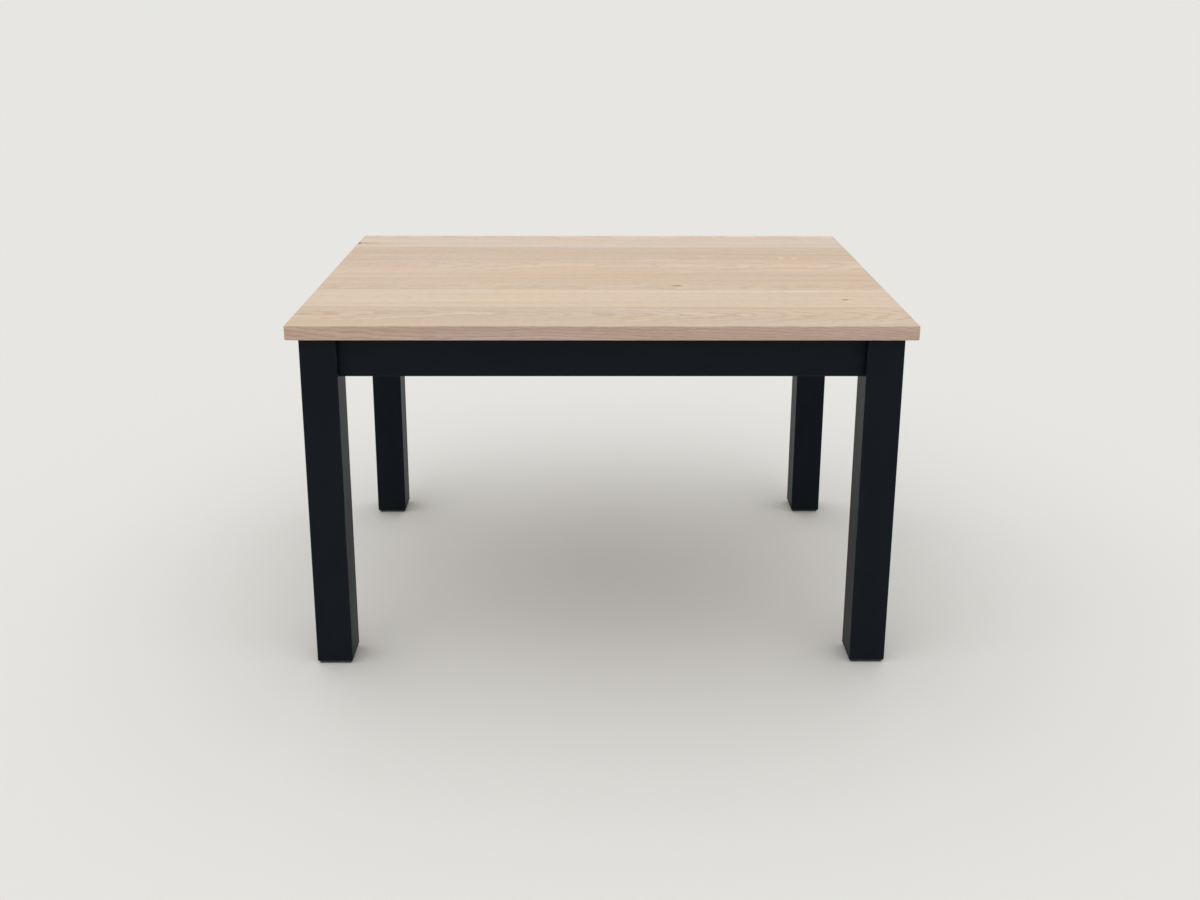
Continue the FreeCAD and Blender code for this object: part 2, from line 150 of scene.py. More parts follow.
class NodeSheet:
    """The node sheet of one finish while it is being drawn.

    Attributes:
        owner: the material or world that the sheet belongs to.
        tree: its nodes.
    """

    def __init__(self, owner: Union[bpy.types.Material, bpy.types.World]) -> None:
        """Start an empty sheet.

        Args:
            owner: the material or world to draw.
        """
        self.owner = owner
        owner.use_nodes = True
        self.tree = owner.node_tree
        self.tree.nodes.clear()

    @classmethod
    def for_finish(cls, name: str) -> "NodeSheet":
        """Start the sheet of a new material."""
        return cls(bpy.data.materials.new(name))

    def node(
        self,
        kind: str,
        settings: Optional[Settings] = None,
        inputs: Optional[Mapping[Union[str, int], Any]] = None,
        output: Union[str, int] = 0,
    ) -> Signal:
        """Add one node to the sheet.

        Args:
            kind: the node's type.
            settings: the node's own properties, or the stops of its ramp, which are set first.
            inputs: a value or a signal for each socket that is set.
            output: the socket that is returned.

        Returns:
            The chosen output as a signal.
        """
        made = self.tree.nodes.new(kind)
        for key, value in (settings or {}).items():
            if key == "stops":
                self.set_stops(made.color_ramp, value)
            else:
                setattr(made, key, value)
        for key, value in (inputs or {}).items():
            if isinstance(value, Signal):
                self.tree.links.new(value.socket, made.inputs[key])
            else:
                made.inputs[key].default_value = value
        return Signal(self, made.outputs[output])

    @staticmethod
    def set_stops(ramp: bpy.types.ColorRamp, stops: Sequence[Steps]) -> None:
        """Give a ramp grey stops.

        Args:
            ramp: the ramp of a Color Ramp node.
            stops: pairs of place and brightness, in order.
        """
        while len(ramp.elements) < len(stops):
            ramp.elements.new(1.0)
        for element, (place, level) in zip(ramp.elements, stops):
            element.position = place
            element.color = (level, level, level, 1.0)

    def math(self, operation: str, first: Quantity, second: Quantity = 0.0) -> Signal:
        """Return a Math node of one or two quantities."""
        return self.node("ShaderNodeMath", {"operation": operation}, {0: first, 1: second})

    def place(self) -> tuple[Signal, Signal, Signal]:
        """Return the three parts of the place on the piece, in metres."""
        return self.split(self.node("ShaderNodeTexCoord", output="Object"))

    def facing(self) -> tuple[Signal, Signal, Signal]:
        """Return how far the surface faces along each axis, without its sign."""
        along_x, along_y, along_z = self.split(self.node("ShaderNodeTexCoord", output="Normal"))
        return abs(along_x), abs(along_y), abs(along_z)

    def split(self, vector: Signal) -> tuple[Signal, Signal, Signal]:
        """Return the three parts of a vector."""
        outputs = self.node("ShaderNodeSeparateXYZ", inputs={0: vector}).socket.node.outputs
        return Signal(self, outputs[0]), Signal(self, outputs[1]), Signal(self, outputs[2])

    def point(self, x: Quantity, y: Quantity, z: Quantity) -> Signal:
        """Return a vector from its three parts."""
        return self.node("ShaderNodeCombineXYZ", inputs={0: x, 1: y, 2: z})

    def length(self, first: Signal, second: Signal) -> Signal:
        """Return the length of a line with two parts at right angles."""
        return self.math("SQRT", first * first + second * second)

    def noise(self, place: Place, kind: NoiseKind) -> Signal:
        """Draw soft noise.

        Args:
            place: the three parts of the place that it is read at.
            kind: how fine and how strong it is.

        Returns:
            The noise, half of its strength on average.
        """
        x, y, z = (part * rate for part, rate in zip(place, kind.rates))
        inputs = {
            "Vector": self.point(x, y, z),
            "Scale": 1.0,
            "Detail": kind.detail,
            "Roughness": kind.roughness,
        }
        made = self.node("ShaderNodeTexNoise", {"noise_dimensions": "3D"}, inputs)
        return made if kind.strength == 1.0 else made * kind.strength

    def rise(self, value: Quantity, steps: Steps) -> Signal:
        """Draw a smooth step.

        Args:
            value: what it follows.
            steps: the value at which it starts, and the value at which it is done.

        Returns:
            The step, from 0 up to 1.
        """
        settings = {"interpolation_type": "SMOOTHSTEP"}
        inputs = {"Value": value, "From Min": steps[0], "From Max": steps[1]}
        return self.node("ShaderNodeMapRange", settings, inputs)

    def fall(self, value: Quantity, steps: Steps) -> Signal:
        """Return the same smooth step from 1 down to 0."""
        return 1.0 - self.rise(value, steps)

    def ramp(self, value: Signal, stops: Sequence[Steps]) -> Signal:
        """Return a grey ramp of a value."""
        return self.node("ShaderNodeValToRGB", {"stops": stops}, {"Fac": value})

    def mixed(
        self, share: Quantity, first: Colour, second: Colour, blend: str = "MIX"
    ) -> Signal:
        """Blend two colours.

        Args:
            share: how much of the second colour there is.
            first: the colour where the share is 0.
            second: the colour where the share is 1.
            blend: the kind of blend.

        Returns:
            The colour that results.
        """
        settings = {"data_type": "RGBA", "blend_type": blend}
        inputs = {0: share, MIX_FIRST: opaque(first), MIX_SECOND: opaque(second)}
        return self.node("ShaderNodeMix", settings, inputs, MIX_RESULT)

    def tinted(self, colour: Signal, share: Quantity, tint: Colour) -> Signal:
        """Return a colour that is multiplied by a tint where the share is 1."""
        return self.mixed(share, colour, tint, "MULTIPLY")

    def relief(self, height: Signal, depth: float) -> Signal:
        """Return the normal of a relief from 0 to 1 that is so many metres deep."""
        return self.node("ShaderNodeBump", inputs={"Distance": depth, "Height": height})

    def surface(self, inputs: Mapping[Union[str, int], Any]) -> bpy.types.Material:
        """Return the finished material of a surface, from the values of its sockets."""
        return self.finish(self.node("ShaderNodeBsdfPrincipled", inputs=inputs))

    def finish(self, shader: Signal) -> Any:
        """Connect the surface shader.

        Args:
            shader: what the surface or the world looks like.

        Returns:
            The finished material or world.
        """
        is_world = isinstance(self.owner, bpy.types.World)
        kind = "ShaderNodeOutputWorld" if is_world else "ShaderNodeOutputMaterial"
        end = self.tree.nodes.new(kind)
        self.tree.links.new(shader.socket, end.inputs["Surface"])
        return self.owner


def opaque(colour: Colour) -> Any:
    """Return a triple with full alpha added, and a signal as it is."""
    return (*colour, 1.0) if isinstance(colour, tuple) else colour


# Finishes

class MarkKind(Enum):
    """What a mark in the wood of the top is, as the tint that it gives the wood."""

    KNOT = (0.58, 0.47, 0.40)
    FLECK = (1.23, 1.25, 1.27)
    BLUSH = (1.01, 0.970, 0.955)
    SHADE = (0.86, 0.80, 0.74)


@dataclass(frozen=True)
class WoodMark:
    """One mark in a board: its kind, its place on the top and its reach each way."""

    kind: MarkKind
    x: float
    y: float
    reach_x: float
    reach_y: float
    strength: float = 1.0

    def offsets(self, x: Signal, y: Signal, scale: float = 1.0) -> tuple[Signal, Signal]:
        """Return how far a place lies from the mark each way, in reaches times a scale."""
        return (x - self.x) / (self.reach_x * scale), (y - self.y) / (self.reach_y * scale)


@dataclass(frozen=True)
class BoardFigure:
    """How one board was cut from its log.

    Attributes:
        pith_side: how far the log's middle lies behind the board's middle.
        pith_depth: how far the log's middle lies below the board, at the table's middle.
        taper: how much that depth grows for each metre along the board.
        ring_width: the yearly growth.
        tone: the board's own shade of the common wood; on the far board it also holds a painted
            sheen.
        contrast: how strongly the yearly rings show.
        depth: how far apart the light and the dark wood lie.
        marks: the knots, flecks and stains of the board.
    """

    pith_side: float
    pith_depth: float
    taper: float
    ring_width: float
    tone: Triple
    contrast: float = 1.0
    depth: float = 1.0
    marks: tuple[WoodMark, ...] = ()


@dataclass(frozen=True)
class KnotFigure:
    """How a knot looks, with its lengths as shares of its reach.

    Attributes:
        solid: how far out the knot is whole, before it fades.
        swell_reach: how far round it the board's grain swells.
        swell: how much the grain swells there.
        fibre_bend: how much its rings follow the fibres.
        ring_rate: how close its rings lie.
        ring_strength: half of how dark they are.
        rim_start: where its dark rim starts.
        rim_end: where the rim ends.
        rim_strength: how dark the rim is.
        crack_sway: how much its crack follows the fibres.
        crack_side: where the crack fades to its sides.
        crack_end: where the crack fades to its ends.
    """

    solid: float = 0.45
    swell_reach: float = 2.6
    swell: float = 0.72
    fibre_bend: float = 0.22
    ring_rate: float = 30.0
    ring_strength: float = 0.32
    rim_start: Steps = (0.45, 0.72)
    rim_end: Steps = (0.80, 1.05)
    rim_strength: float = 0.45
    crack_sway: float = 0.9
    crack_side: Steps = (0.02, 0.13)
    crack_end: Steps = (0.35, 0.60)

    def pushed(self, mark: WoodMark, x: Signal, y: Signal) -> Signal:
        """Push the lines of the grain aside round a knot.

        Args:
            mark: the knot.
            x: the place along the board.
            y: the place across the board.

        Returns:
            How far the grain at that place is pushed.
        """
        ahead, aside = mark.offsets(x, y, self.swell_reach)
        near = ahead.sheet.math("EXPONENT", -(ahead * ahead + aside * aside))
        return (y - mark.y) * near * self.swell

    def darkness(self, ahead: Signal, aside: Signal, spread: Signal, fibre: Signal) -> Signal:
        """Draw the rings, the rim and the fine crack inside a knot.

        Args:
            ahead: how far along the board the place lies from the knot's middle, in reaches.
            aside: how far across the board it lies from there.
            spread: how far it lies from there in all.
            fibre: the fibres of the wood.

        Returns:
            How dark the knot is there.
        """
        sheet = spread.sheet
        bent = spread + fibre * self.fibre_bend
        rings = sheet.math("SINE", bent * self.ring_rate) * self.ring_strength + self.ring_strength
        rim = sheet.rise(bent, self.rim_start) * sheet.fall(bent, self.rim_end)
        line = abs(aside + (fibre - 0.5) * self.crack_sway)
        crack = sheet.fall(line, self.crack_side) * sheet.fall(abs(ahead), self.crack_end)
        return sheet.math("MINIMUM", rings + rim * self.rim_strength + crack, 1.0)


@dataclass(frozen=True)
class EdgeLine:
    """A broken line along a board's two long edges.

    Attributes:
        reach: how far from the edge it fades out.
        tint: the tint that it gives the wood.
        noise: the noise that breaks it.
        steps: where the noise breaks it, and where the noise leaves it whole.
        seed: what tells its noise from the other lines'.
    """

    reach: float
    tint: Triple
    noise: NoiseKind
    steps: Steps
    seed: float


@dataclass(frozen=True)
class WhitenedOak:
    """Oak under a matt whitening oil, drawn as a slice through a log's yearly rings.

    A grain place has three parts: the place along the board, which differs from board to board,
    the place across it, bent round its knots, and the height. A pair of steps says where a thing
    starts to show and where it shows in full.

    Attributes:
        board: the number of the board, which also seeds its noise.
        figure: how the board was cut.
        middle: the middle of the board.
        half_width: half of its width.
    """

    board: int
    figure: BoardFigure
    middle: Vector
    half_width: float
    seed_step: float = 7.31

    # Wood and tints
    light_wood: Triple = (0.735, 0.602, 0.482)
    dark_wood: Triple = (0.604, 0.468, 0.356)
    warm_tint: Triple = (1.012, 0.992, 0.966)
    cool_tint: Triple = (0.990, 1.008, 1.030)
    # The front and back edges are darker and pinker: partly the side grain's own tone, partly
    # painted shade for the dimmer light on upright faces.
    edge_tone_and_shade: Triple = (0.90, 0.82, 0.86)
    end_tint: Triple = (0.86, 0.80, 0.78)
    pore_tint: Triple = (0.80, 0.74, 0.69)
    ray_tint: Triple = (1.10, 1.09, 1.07)
    knot_ring_tint: Triple = (0.70, 0.66, 0.64)

    # The log's rings: how its middle and its rings wander, and one year from its start to its end
    wander: NoiseKind = NoiseKind((1.3, 1.0, 1.0), 4.0, 0.6, strength=0.05)
    swing: NoiseKind = NoiseKind((1.1, 1.0, 1.0), 1.0, strength=0.04)
    coarse: NoiseKind = NoiseKind((3.2, 22.0, 22.0), strength=0.012)
    fine: NoiseKind = NoiseKind((11.0, 110.0, 110.0), strength=0.0022)
    ripple: NoiseKind = NoiseKind((24.0, 48.0, 48.0), 3.0, 0.6, strength=0.0065)
    year: tuple[Steps, ...] = (
        (0.0, 0.10), (0.10, 0.0), (0.38, 0.80), (0.72, 1.0), (0.93, 0.72), (1.0, 0.10)
    )
    luck_share: float = 0.55

    # Fibres, streaks and bands along the grain, and what each adds to the tone. The middle and
    # the reach of that tone grow with the board's contrast, by their gains.
    fibre_noise: NoiseKind = NoiseKind((5.0, 420.0, 420.0), 3.0, 0.55)
    streak_noise: NoiseKind = NoiseKind((1.1, 75.0, 75.0), 3.0, 0.55, strength=1.15)
    band_noise: NoiseKind = NoiseKind((0.5, 17.0, 17.0), 2.0, 0.55, strength=0.75)
    hue_noise: NoiseKind = NoiseKind((2.6, 8.0, 8.0), 1.0, 0.55)
    hue_steps: Steps = (0.34, 0.66)
    ring_weight: float = 0.62
    fibre_weight: float = 0.55
    mean_tone: float = 1.435
    mean_tone_gain: float = 0.26
    tone_reach: float = 0.815
    tone_reach_gain: float = 0.16

    # Pores, rays and marks
    pore_noise: NoiseKind = NoiseKind((42.0, 1500.0, 1500.0), 1.0, 0.55)
    pore_crowding: float = 0.10
    pore_steps: Steps = (0.56, 0.70)
    pore_strength: float = 0.55
    ray_noise: NoiseKind = NoiseKind((30.0, 190.0, 24.0), 1.0)
    ray_steps: Steps = (0.63, 0.74)
    ray_strength: float = 0.45
    knot: KnotFigure = KnotFigure()
    mark_solid: float = 0.05
    mark_fray: float = 0.7
    mark_floor: Steps = (0.002, 0.013)
    mark_floor_fray: float = 0.010

    # Edges and ends
    seam: EdgeLine = EdgeLine(
        reach=0.0045, tint=(1.055, 1.05, 1.04), noise=NoiseKind((4.0, 1.0, 6.0)),
        steps=(0.40, 0.62), seed=0.0
    )
    joint: EdgeLine = EdgeLine(
        reach=0.0009, tint=(0.76, 0.70, 0.63), noise=NoiseKind((6.0, 1.0, 0.0)),
        steps=(0.36, 0.60), seed=0.5
    )
    level_steps: Steps = (0.80, 0.98)
    turned_steps: Steps = (0.5, 0.95)

    # Surface
    relief_depth: float = 0.00022
    relief_middle: float = 0.4
    ring_relief: float = 0.25
    fibre_relief: float = 0.45
    pore_relief: float = 0.5
    matt: float = 0.57
    fibre_matt: float = 0.10
    pore_matt: float = 0.12
    ray_gloss: float = 0.08
    specular: float = 0.28

    def material(self) -> bpy.types.Material:
        """Draw the finish.

        Returns:
            The material of this board.
        """
        sheet = NodeSheet.for_finish("whitened_oak_%d" % self.board)
        x, y, z = sheet.place()
        side = y - self.middle.y
        for mark in self.figure.marks:
            if mark.kind is MarkKind.KNOT:
                side = side - self.knot.pushed(mark, x, y)
        grain = (x + self.board * self.seed_step, side, z)
        fibre = sheet.noise(grain, self.fibre_noise)
        radius, ring = self.rings(sheet, grain, x)
        pores = self.pores(sheet, grain, ring)
        rays = self.rays(sheet, grain, radius)

        colour = self.wood(sheet, grain, ring, fibre)
        colour = sheet.tinted(colour, pores * self.pore_strength, self.pore_tint)
        colour = sheet.tinted(colour, rays * self.ray_strength, self.ray_tint)
        colour = self.marked(sheet, colour, (x, y, z), fibre)
        colour = self.edged(sheet, colour, grain[0], y)

        height = ring * self.ring_relief + fibre * self.fibre_relief - pores * self.pore_relief
        roughness = fibre * self.fibre_matt + pores * self.pore_matt - rays * self.ray_gloss
        return sheet.surface({
            "Base Color": colour,
            "Roughness": roughness + self.matt,
            "Specular IOR Level": self.specular,
            "Normal": sheet.relief(height + self.relief_middle, self.relief_depth),
        })

    def rings(self, sheet: NodeSheet, grain: Place, x: Signal) -> tuple[Signal, Signal]:
        """Draw the yearly rings about the log's wandering middle.

        Args:
            sheet: the sheet to draw on.
            grain: the place in the board's grain.
            x: the place along the board.

        Returns:
            The distance from the log's middle, and how light the ring is there.
        """
        figure = self.figure
        along, side, z = grain
        wander = sheet.noise((along, self.board, 0.0), self.wander)
        swing = sheet.noise((along, 0.0, self.board), self.swing)
        depth = wander + (figure.pith_depth - self.wander.strength / 2)
        down = x * figure.taper + (z - self.middle.z) + depth
        across = side + (swing - (figure.pith_side + self.swing.strength / 2))
        uneven = sheet.noise(grain, self.coarse) + sheet.noise(grain, self.fine)
        radius = sheet.length(down, across) + (uneven + sheet.noise(grain, self.ripple))
        turns = radius / figure.ring_width
        growth = sheet.math("FLOOR", turns)
        settings = {"noise_dimensions": "1D"}
        luck = sheet.node("ShaderNodeTexWhiteNoise", settings, {"W": growth + self.board})
        profile = sheet.ramp(sheet.math("FRACT", turns), self.year)
        return radius, profile * (luck * self.luck_share + (1.0 - self.luck_share))

    def pores(self, sheet: NodeSheet, grain: Place, ring: Signal) -> Signal:
        """Return the open pores, short dark dashes that crowd where a ring starts."""
        crowd = (1.0 - ring) * self.pore_crowding
        return sheet.rise(sheet.noise(grain, self.pore_noise) + crowd, self.pore_steps)

    def rays(self, sheet: NodeSheet, grain: Place, radius: Signal) -> Signal:
        """Draw the light rays that run from the log's middle outwards.

        Args:
            sheet: the sheet to draw on.
            grain: the place in the board's grain.
            radius: the distance from the log's middle.

        Returns:
            Where the rays show.
        """
        along, side, z = grain
        down = z + (self.figure.pith_depth - self.middle.z)
        angle = sheet.math("ARCTAN2", side - self.figure.pith_side, down)
        return sheet.rise(sheet.noise((along, angle, radius), self.ray_noise), self.ray_steps)

    def wood(self, sheet: NodeSheet, grain: Place, ring: Signal, fibre: Signal) -> Signal:
        """Colour the bare wood by its rings, streaks, bands and fibres.

        Args:
            sheet: the sheet to draw on.
            grain: the place in the board's grain.
            ring: how light the ring is.
            fibre: the fibres of the wood.

        Returns:
            The colour of the wood.
        """
        contrast = self.figure.contrast
        streak = sheet.noise(grain, self.streak_noise)
        band = sheet.noise(grain, self.band_noise)
        tone = ring * (self.ring_weight * contrast) + streak + band + fibre * self.fibre_weight
        middle = self.mean_tone + self.mean_tone_gain * contrast
        reach = (self.tone_reach + self.tone_reach_gain * contrast) / self.figure.depth
        level = sheet.rise(tone, (middle - reach, middle + reach))
        colour = sheet.mixed(level, self.dark_wood, self.light_wood)
        # The board's tone, which on the far board also paints in its sheen.
        colour = sheet.tinted(colour, 1.0, self.figure.tone)
        warmth = sheet.rise(sheet.noise(grain, self.hue_noise), self.hue_steps)
        return sheet.tinted(colour, 1.0, sheet.mixed(warmth, self.cool_tint, self.warm_tint))

    def marked(self, sheet: NodeSheet, colour: Signal, place: Place, fibre: Signal) -> Signal:
        """Lay the board's marks on its wood, near its upper face.

        Args:
            sheet: the sheet to draw on.
            colour: the colour of the wood.
            place: the place on the piece.
            fibre: the fibres of the wood, along which a mark frays.

        Returns:
            The colour with the marks.
        """
        x, y, z = place
        height = z - self.middle.z + (fibre - 0.5) * self.mark_floor_fray
        near_top = sheet.rise(height, self.mark_floor)
        for mark in self.figure.marks:
            is_knot = mark.kind is MarkKind.KNOT
            ahead, aside = mark.offsets(x, y)
            spread = sheet.length(ahead, aside)
            ragged = spread + (fibre * self.mark_fray - self.mark_fray / 2)
            solid = self.knot.solid if is_knot else self.mark_solid
            share = sheet.fall(ragged, (solid, 1.0)) * mark.strength * near_top
            colour = sheet.tinted(colour, share, mark.kind.value)
            if is_knot:
                dark = share * self.knot.darkness(ahead, aside, spread, fibre)
                colour = sheet.tinted(colour, dark, self.knot_ring_tint)
        return colour

    def edged(self, sheet: NodeSheet, colour: Signal, along: Signal, y: Signal) -> Signal:
        """Draw the lines along the board's edges, tint its ends, and tint its front and back edges
        with their own tone and a painted shade.

        Args:
            sheet: the sheet to draw on.
            colour: the colour of the wood.
            along: the place along the board, which differs from board to board.
            y: the place across the board.

        Returns:
            The colour with its edges.
        """
        faces_x, faces_y, faces_z = sheet.facing()
        level = sheet.rise(faces_z, self.level_steps)
        inset = self.half_width - abs(y - self.middle.y)
        for line in (self.seam, self.joint):
            broken = sheet.noise((along, self.board + line.seed, y), line.noise)
            share = sheet.fall(inset, (0.0, line.reach)) * sheet.rise(broken, line.steps)
            colour = sheet.tinted(colour, share * level, line.tint)
        # Painted shade, with the side grain's own tone, darkens the faces that look front or back.
        colour = sheet.tinted(colour, sheet.rise(faces_y, self.turned_steps), self.edge_tone_and_shade)
        return sheet.tinted(colour, sheet.rise(faces_x, self.turned_steps), self.end_tint)


class GrainRun(Enum):
    """Which way the wood under the paint runs, as the share of its rate that each axis keeps."""

    UPRIGHT = (1.0, 1.0, 0.03)
    ALONG = (0.03, 1.0, 1.0)
    ACROSS = (1.0, 0.03, 1.0)


@dataclass(frozen=True)
class PaintedEdges:
    """Where a painted piece has its edges, as distances from the table's middle or the floor.

    Attributes:
        first: the two places of its faces along one axis.
        second: the two places of its faces along another axis.
        axes: the numbers of those two axes.
    """

    first: tuple[float, float]
    second: tuple[float, float]
    axes: tuple[int, int]

    @classmethod
    def of_node(cls, node: str, axes: tuple[int, int]) -> "PaintedEdges":
        """Read where a node has its long edges.

        Args:
            node: the CAD node.
            axes: the numbers of the two axes across its length.

        Returns:
            The edges of its box.
        """
        low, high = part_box(node)
        first, second = axes
        return cls((low[first], high[first]), (low[second], high[second]), axes)


@dataclass(frozen=True)
class BlackPaint:
    """Satin black paint on wood: faint grain, roller stipple and slightly rubbed edges."""

    name: str
    run: GrainRun
    edges: PaintedEdges
    body: Triple = (0.0043, 0.0071, 0.0116)
    thin: Triple = (0.0056, 0.0088, 0.0140)
    rubbed: Triple = (0.030, 0.031, 0.033)
    grain: NoiseKind = NoiseKind.even(520.0, 3.0)
    grain_relief: float = 0.6
    stipple: NoiseKind = NoiseKind((900.0, 900.0, 900.0), 1.0, strength=0.4)
    clouds: NoiseKind = NoiseKind.even(24.0, 3.0)
    least_cloud_share: float = 0.22
    cloud_steps: Steps = (0.3, 0.7)
    wear: NoiseKind = NoiseKind.even(28.0, 4.0, 0.6)
    wear_steps: Steps = (0.46, 0.66)
    wear_strength: float = 0.8
    edge_reach: float = 0.0028
    relief_depth: float = 0.00016
    satin: float = 0.35
    cloud_matt: float = 0.14
    grain_matt: float = 0.08
    wear_gloss: float = 0.08
    specular: float = 0.09

    def material(self) -> bpy.types.Material:
        """Draw the finish.

        Returns:
            The material of one painted piece.
        """
        sheet = NodeSheet.for_finish(self.name)
        place = sheet.place()
        shares = self.run.value
        grain = sheet.noise(place, self.grain.drawn_out(shares))
        clouds = sheet.noise(place, self.clouds.drawn_out(shares, self.least_cloud_share))
        rub = self.rub(sheet, place)

        body = sheet.mixed(sheet.rise(clouds, self.cloud_steps), self.body, self.thin)
        height = grain * self.grain_relief + sheet.noise(place, self.stipple)
        roughness = clouds * self.cloud_matt + grain * self.grain_matt - rub * self.wear_gloss
        return sheet.surface({
            "Base Color": sheet.mixed(rub * self.wear_strength, body, self.rubbed),
            "Roughness": roughness + self.satin,
            "Specular IOR Level": self.specular,
            "Normal": sheet.relief(height, self.relief_depth),
        })

    def rub(self, sheet: NodeSheet, place: Place) -> Signal:
        """Draw where hands and brooms have rubbed the piece's edges.

        Args:
            sheet: the sheet to draw on.
            place: the place on the piece.

        Returns:
            How much the paint is rubbed there.
        """
        first = self.nearness(sheet, abs(place[self.edges.axes[0]]), self.edges.first)
        second = self.nearness(sheet, abs(place[self.edges.axes[1]]), self.edges.second)
        return first * second * sheet.rise(sheet.noise(place, self.wear), self.wear_steps)

    def nearness(self, sheet: NodeSheet, distance: Signal, faces: tuple[float, float]) -> Signal:
        """Return 1 at either of two faces, falling to 0 at the edge's reach from them."""
        gap = sheet.math("MINIMUM", abs(distance - faces[0]), abs(distance - faces[1]))
        return sheet.fall(gap, (0.0, self.edge_reach))


@dataclass(frozen=True)
class BareBeech:
    """Unfinished beech with its short brown flecks, for tongues and tenons."""

    name: str = "bare_beech"
    light_wood: Triple = (0.64, 0.47, 0.31)
    dark_wood: Triple = (0.52, 0.36, 0.22)
    grain: NoiseKind = NoiseKind((9.0, 260.0, 260.0), 3.0)
    flecks: NoiseKind = NoiseKind((160.0, 900.0, 900.0), 1.0)
    fleck_steps: Steps = (0.6, 0.7)
    fleck_strength: float = 0.5
    fleck_relief: float = 0.3
    relief_depth: float = 0.0001
    matt: float = 0.6
    grain_matt: float = 0.1

    def material(self) -> bpy.types.Material:
        """Draw the finish.

        Returns:
            The material of the hidden joinery.
        """
        sheet = NodeSheet.for_finish(self.name)
        place = sheet.place()
        grain = sheet.noise(place, self.grain)
        flecks = sheet.rise(sheet.noise(place, self.flecks), self.fleck_steps)
        wood = sheet.mixed(grain, self.dark_wood, self.light_wood)
        return sheet.surface({
            "Base Color": sheet.mixed(flecks * self.fleck_strength, wood, self.dark_wood),
            "Roughness": grain * self.grain_matt + self.matt,
            "Normal": sheet.relief(grain - flecks * self.fleck_relief, self.relief_depth),
        })


class ZincSheen(Enum):
    """How dull zinc plate is, as its least roughness."""

    BRIGHT = 0.22
    SATIN = 0.26
    DULL = 0.30


@dataclass(frozen=True)
class ZincPlate:
    """Zinc plated steel: grey patches with a breath of blue and straw, and rolling lines."""

    name: str
    sheen: ZincSheen = ZincSheen.BRIGHT
    blue_grey: Triple = (0.52, 0.55, 0.58)
    straw: Triple = (0.62, 0.60, 0.53)
    dull: Triple = (0.36, 0.37, 0.38)
    patches: NoiseKind = NoiseKind.even(60.0, 3.0)
    patch_steps: Steps = (0.35, 0.65)
    stains: NoiseKind = NoiseKind.even(180.0, 4.0, 0.6)
    stain_steps: Steps = (0.52, 0.75)
    stain_strength: float = 0.6
    lines: NoiseKind = NoiseKind((250.0, 250.0, 3500.0))
    matt: float = 0.12
    relief_depth: float = 0.00002

    def material(self) -> bpy.types.Material:
        """Draw the finish.

        Returns:
            The material of the steel parts.
        """
        sheet = NodeSheet.for_finish(self.name)
        place = sheet.place()
        patches = sheet.rise(sheet.noise(place, self.patches), self.patch_steps)
        lines = sheet.noise(place, self.lines)
        stains = sheet.noise(place, self.stains)
        stained = sheet.rise(stains, self.stain_steps) * self.stain_strength
        zinc = sheet.mixed(patches, self.blue_grey, self.straw)
        return sheet.surface({
            "Base Color": sheet.mixed(stained, zinc, self.dull),
            "Metallic": 1.0,
            "Roughness": lines * self.matt + stains * self.matt + self.sheen.value,
            "Normal": sheet.relief(lines, self.relief_depth),
        })


@dataclass(frozen=True)
class PressedFelt:
    """Dense dark grey felt with matted fibres."""

    name: str = "pressed_felt"
    dark_fibre: Triple = (0.018, 0.018, 0.018)
    light_fibre: Triple = (0.075, 0.073, 0.070)
    curl: NoiseKind = NoiseKind((300.0, 300.0, 300.0), strength=3.53 * MILLIMETRE)
    fibres: NoiseKind = NoiseKind((1700.0, 1700.0, 2600.0), 3.0, 0.6)
    fibre_share: float = 0.7
    clumps: NoiseKind = NoiseKind((120.0, 120.0, 200.0), strength=0.3)
    fibre_steps: Steps = (0.38, 0.64)
    relief_depth: float = 0.0004
    matt: float = 0.95
    sheen: float = 0.25
    sheen_matt: float = 0.6

    def material(self) -> bpy.types.Material:
        """Draw the finish.

        Returns:
            The material of the pads.
        """
        sheet = NodeSheet.for_finish(self.name)
        x, y, z = sheet.place()
        curl = sheet.noise((x, y, z), self.curl)
        fibres = sheet.noise((x + curl, y - curl, z), self.fibres)
        tone = fibres * self.fibre_share + sheet.noise((x, y, z), self.clumps)
        level = sheet.rise(tone, self.fibre_steps)
        return sheet.surface({
            "Base Color": sheet.mixed(level, self.dark_fibre, self.light_fibre),
            "Roughness": self.matt,
            "Sheen Weight": self.sheen,
            "Sheen Roughness": self.sheen_matt,
            "Normal": sheet.relief(fibres, self.relief_depth),
        })


# Modelling

class PartKind(Enum):
    """What is picked in edit mode: the operator's word and the mesh's own list."""

    POINTS = ("VERT", "verts")
    EDGES = ("EDGE", "edges")
    FACES = ("FACE", "faces")


Test = Callable[[Sequence[Vector]], bool]


def put_all_down() -> None:
    """Leave edit mode if need be and deselect every object."""
    if bpy.context.object and bpy.context.object.mode != "OBJECT":
        bpy.ops.object.mode_set(mode="OBJECT")
    bpy.ops.object.select_all(action="DESELECT")


def is_upright(ends: Sequence[Vector]) -> bool:
    """Say whether an edge climbs from one of its ends to the other."""
    return abs(ends[0].z - ends[1].z) > SAME_PLACE


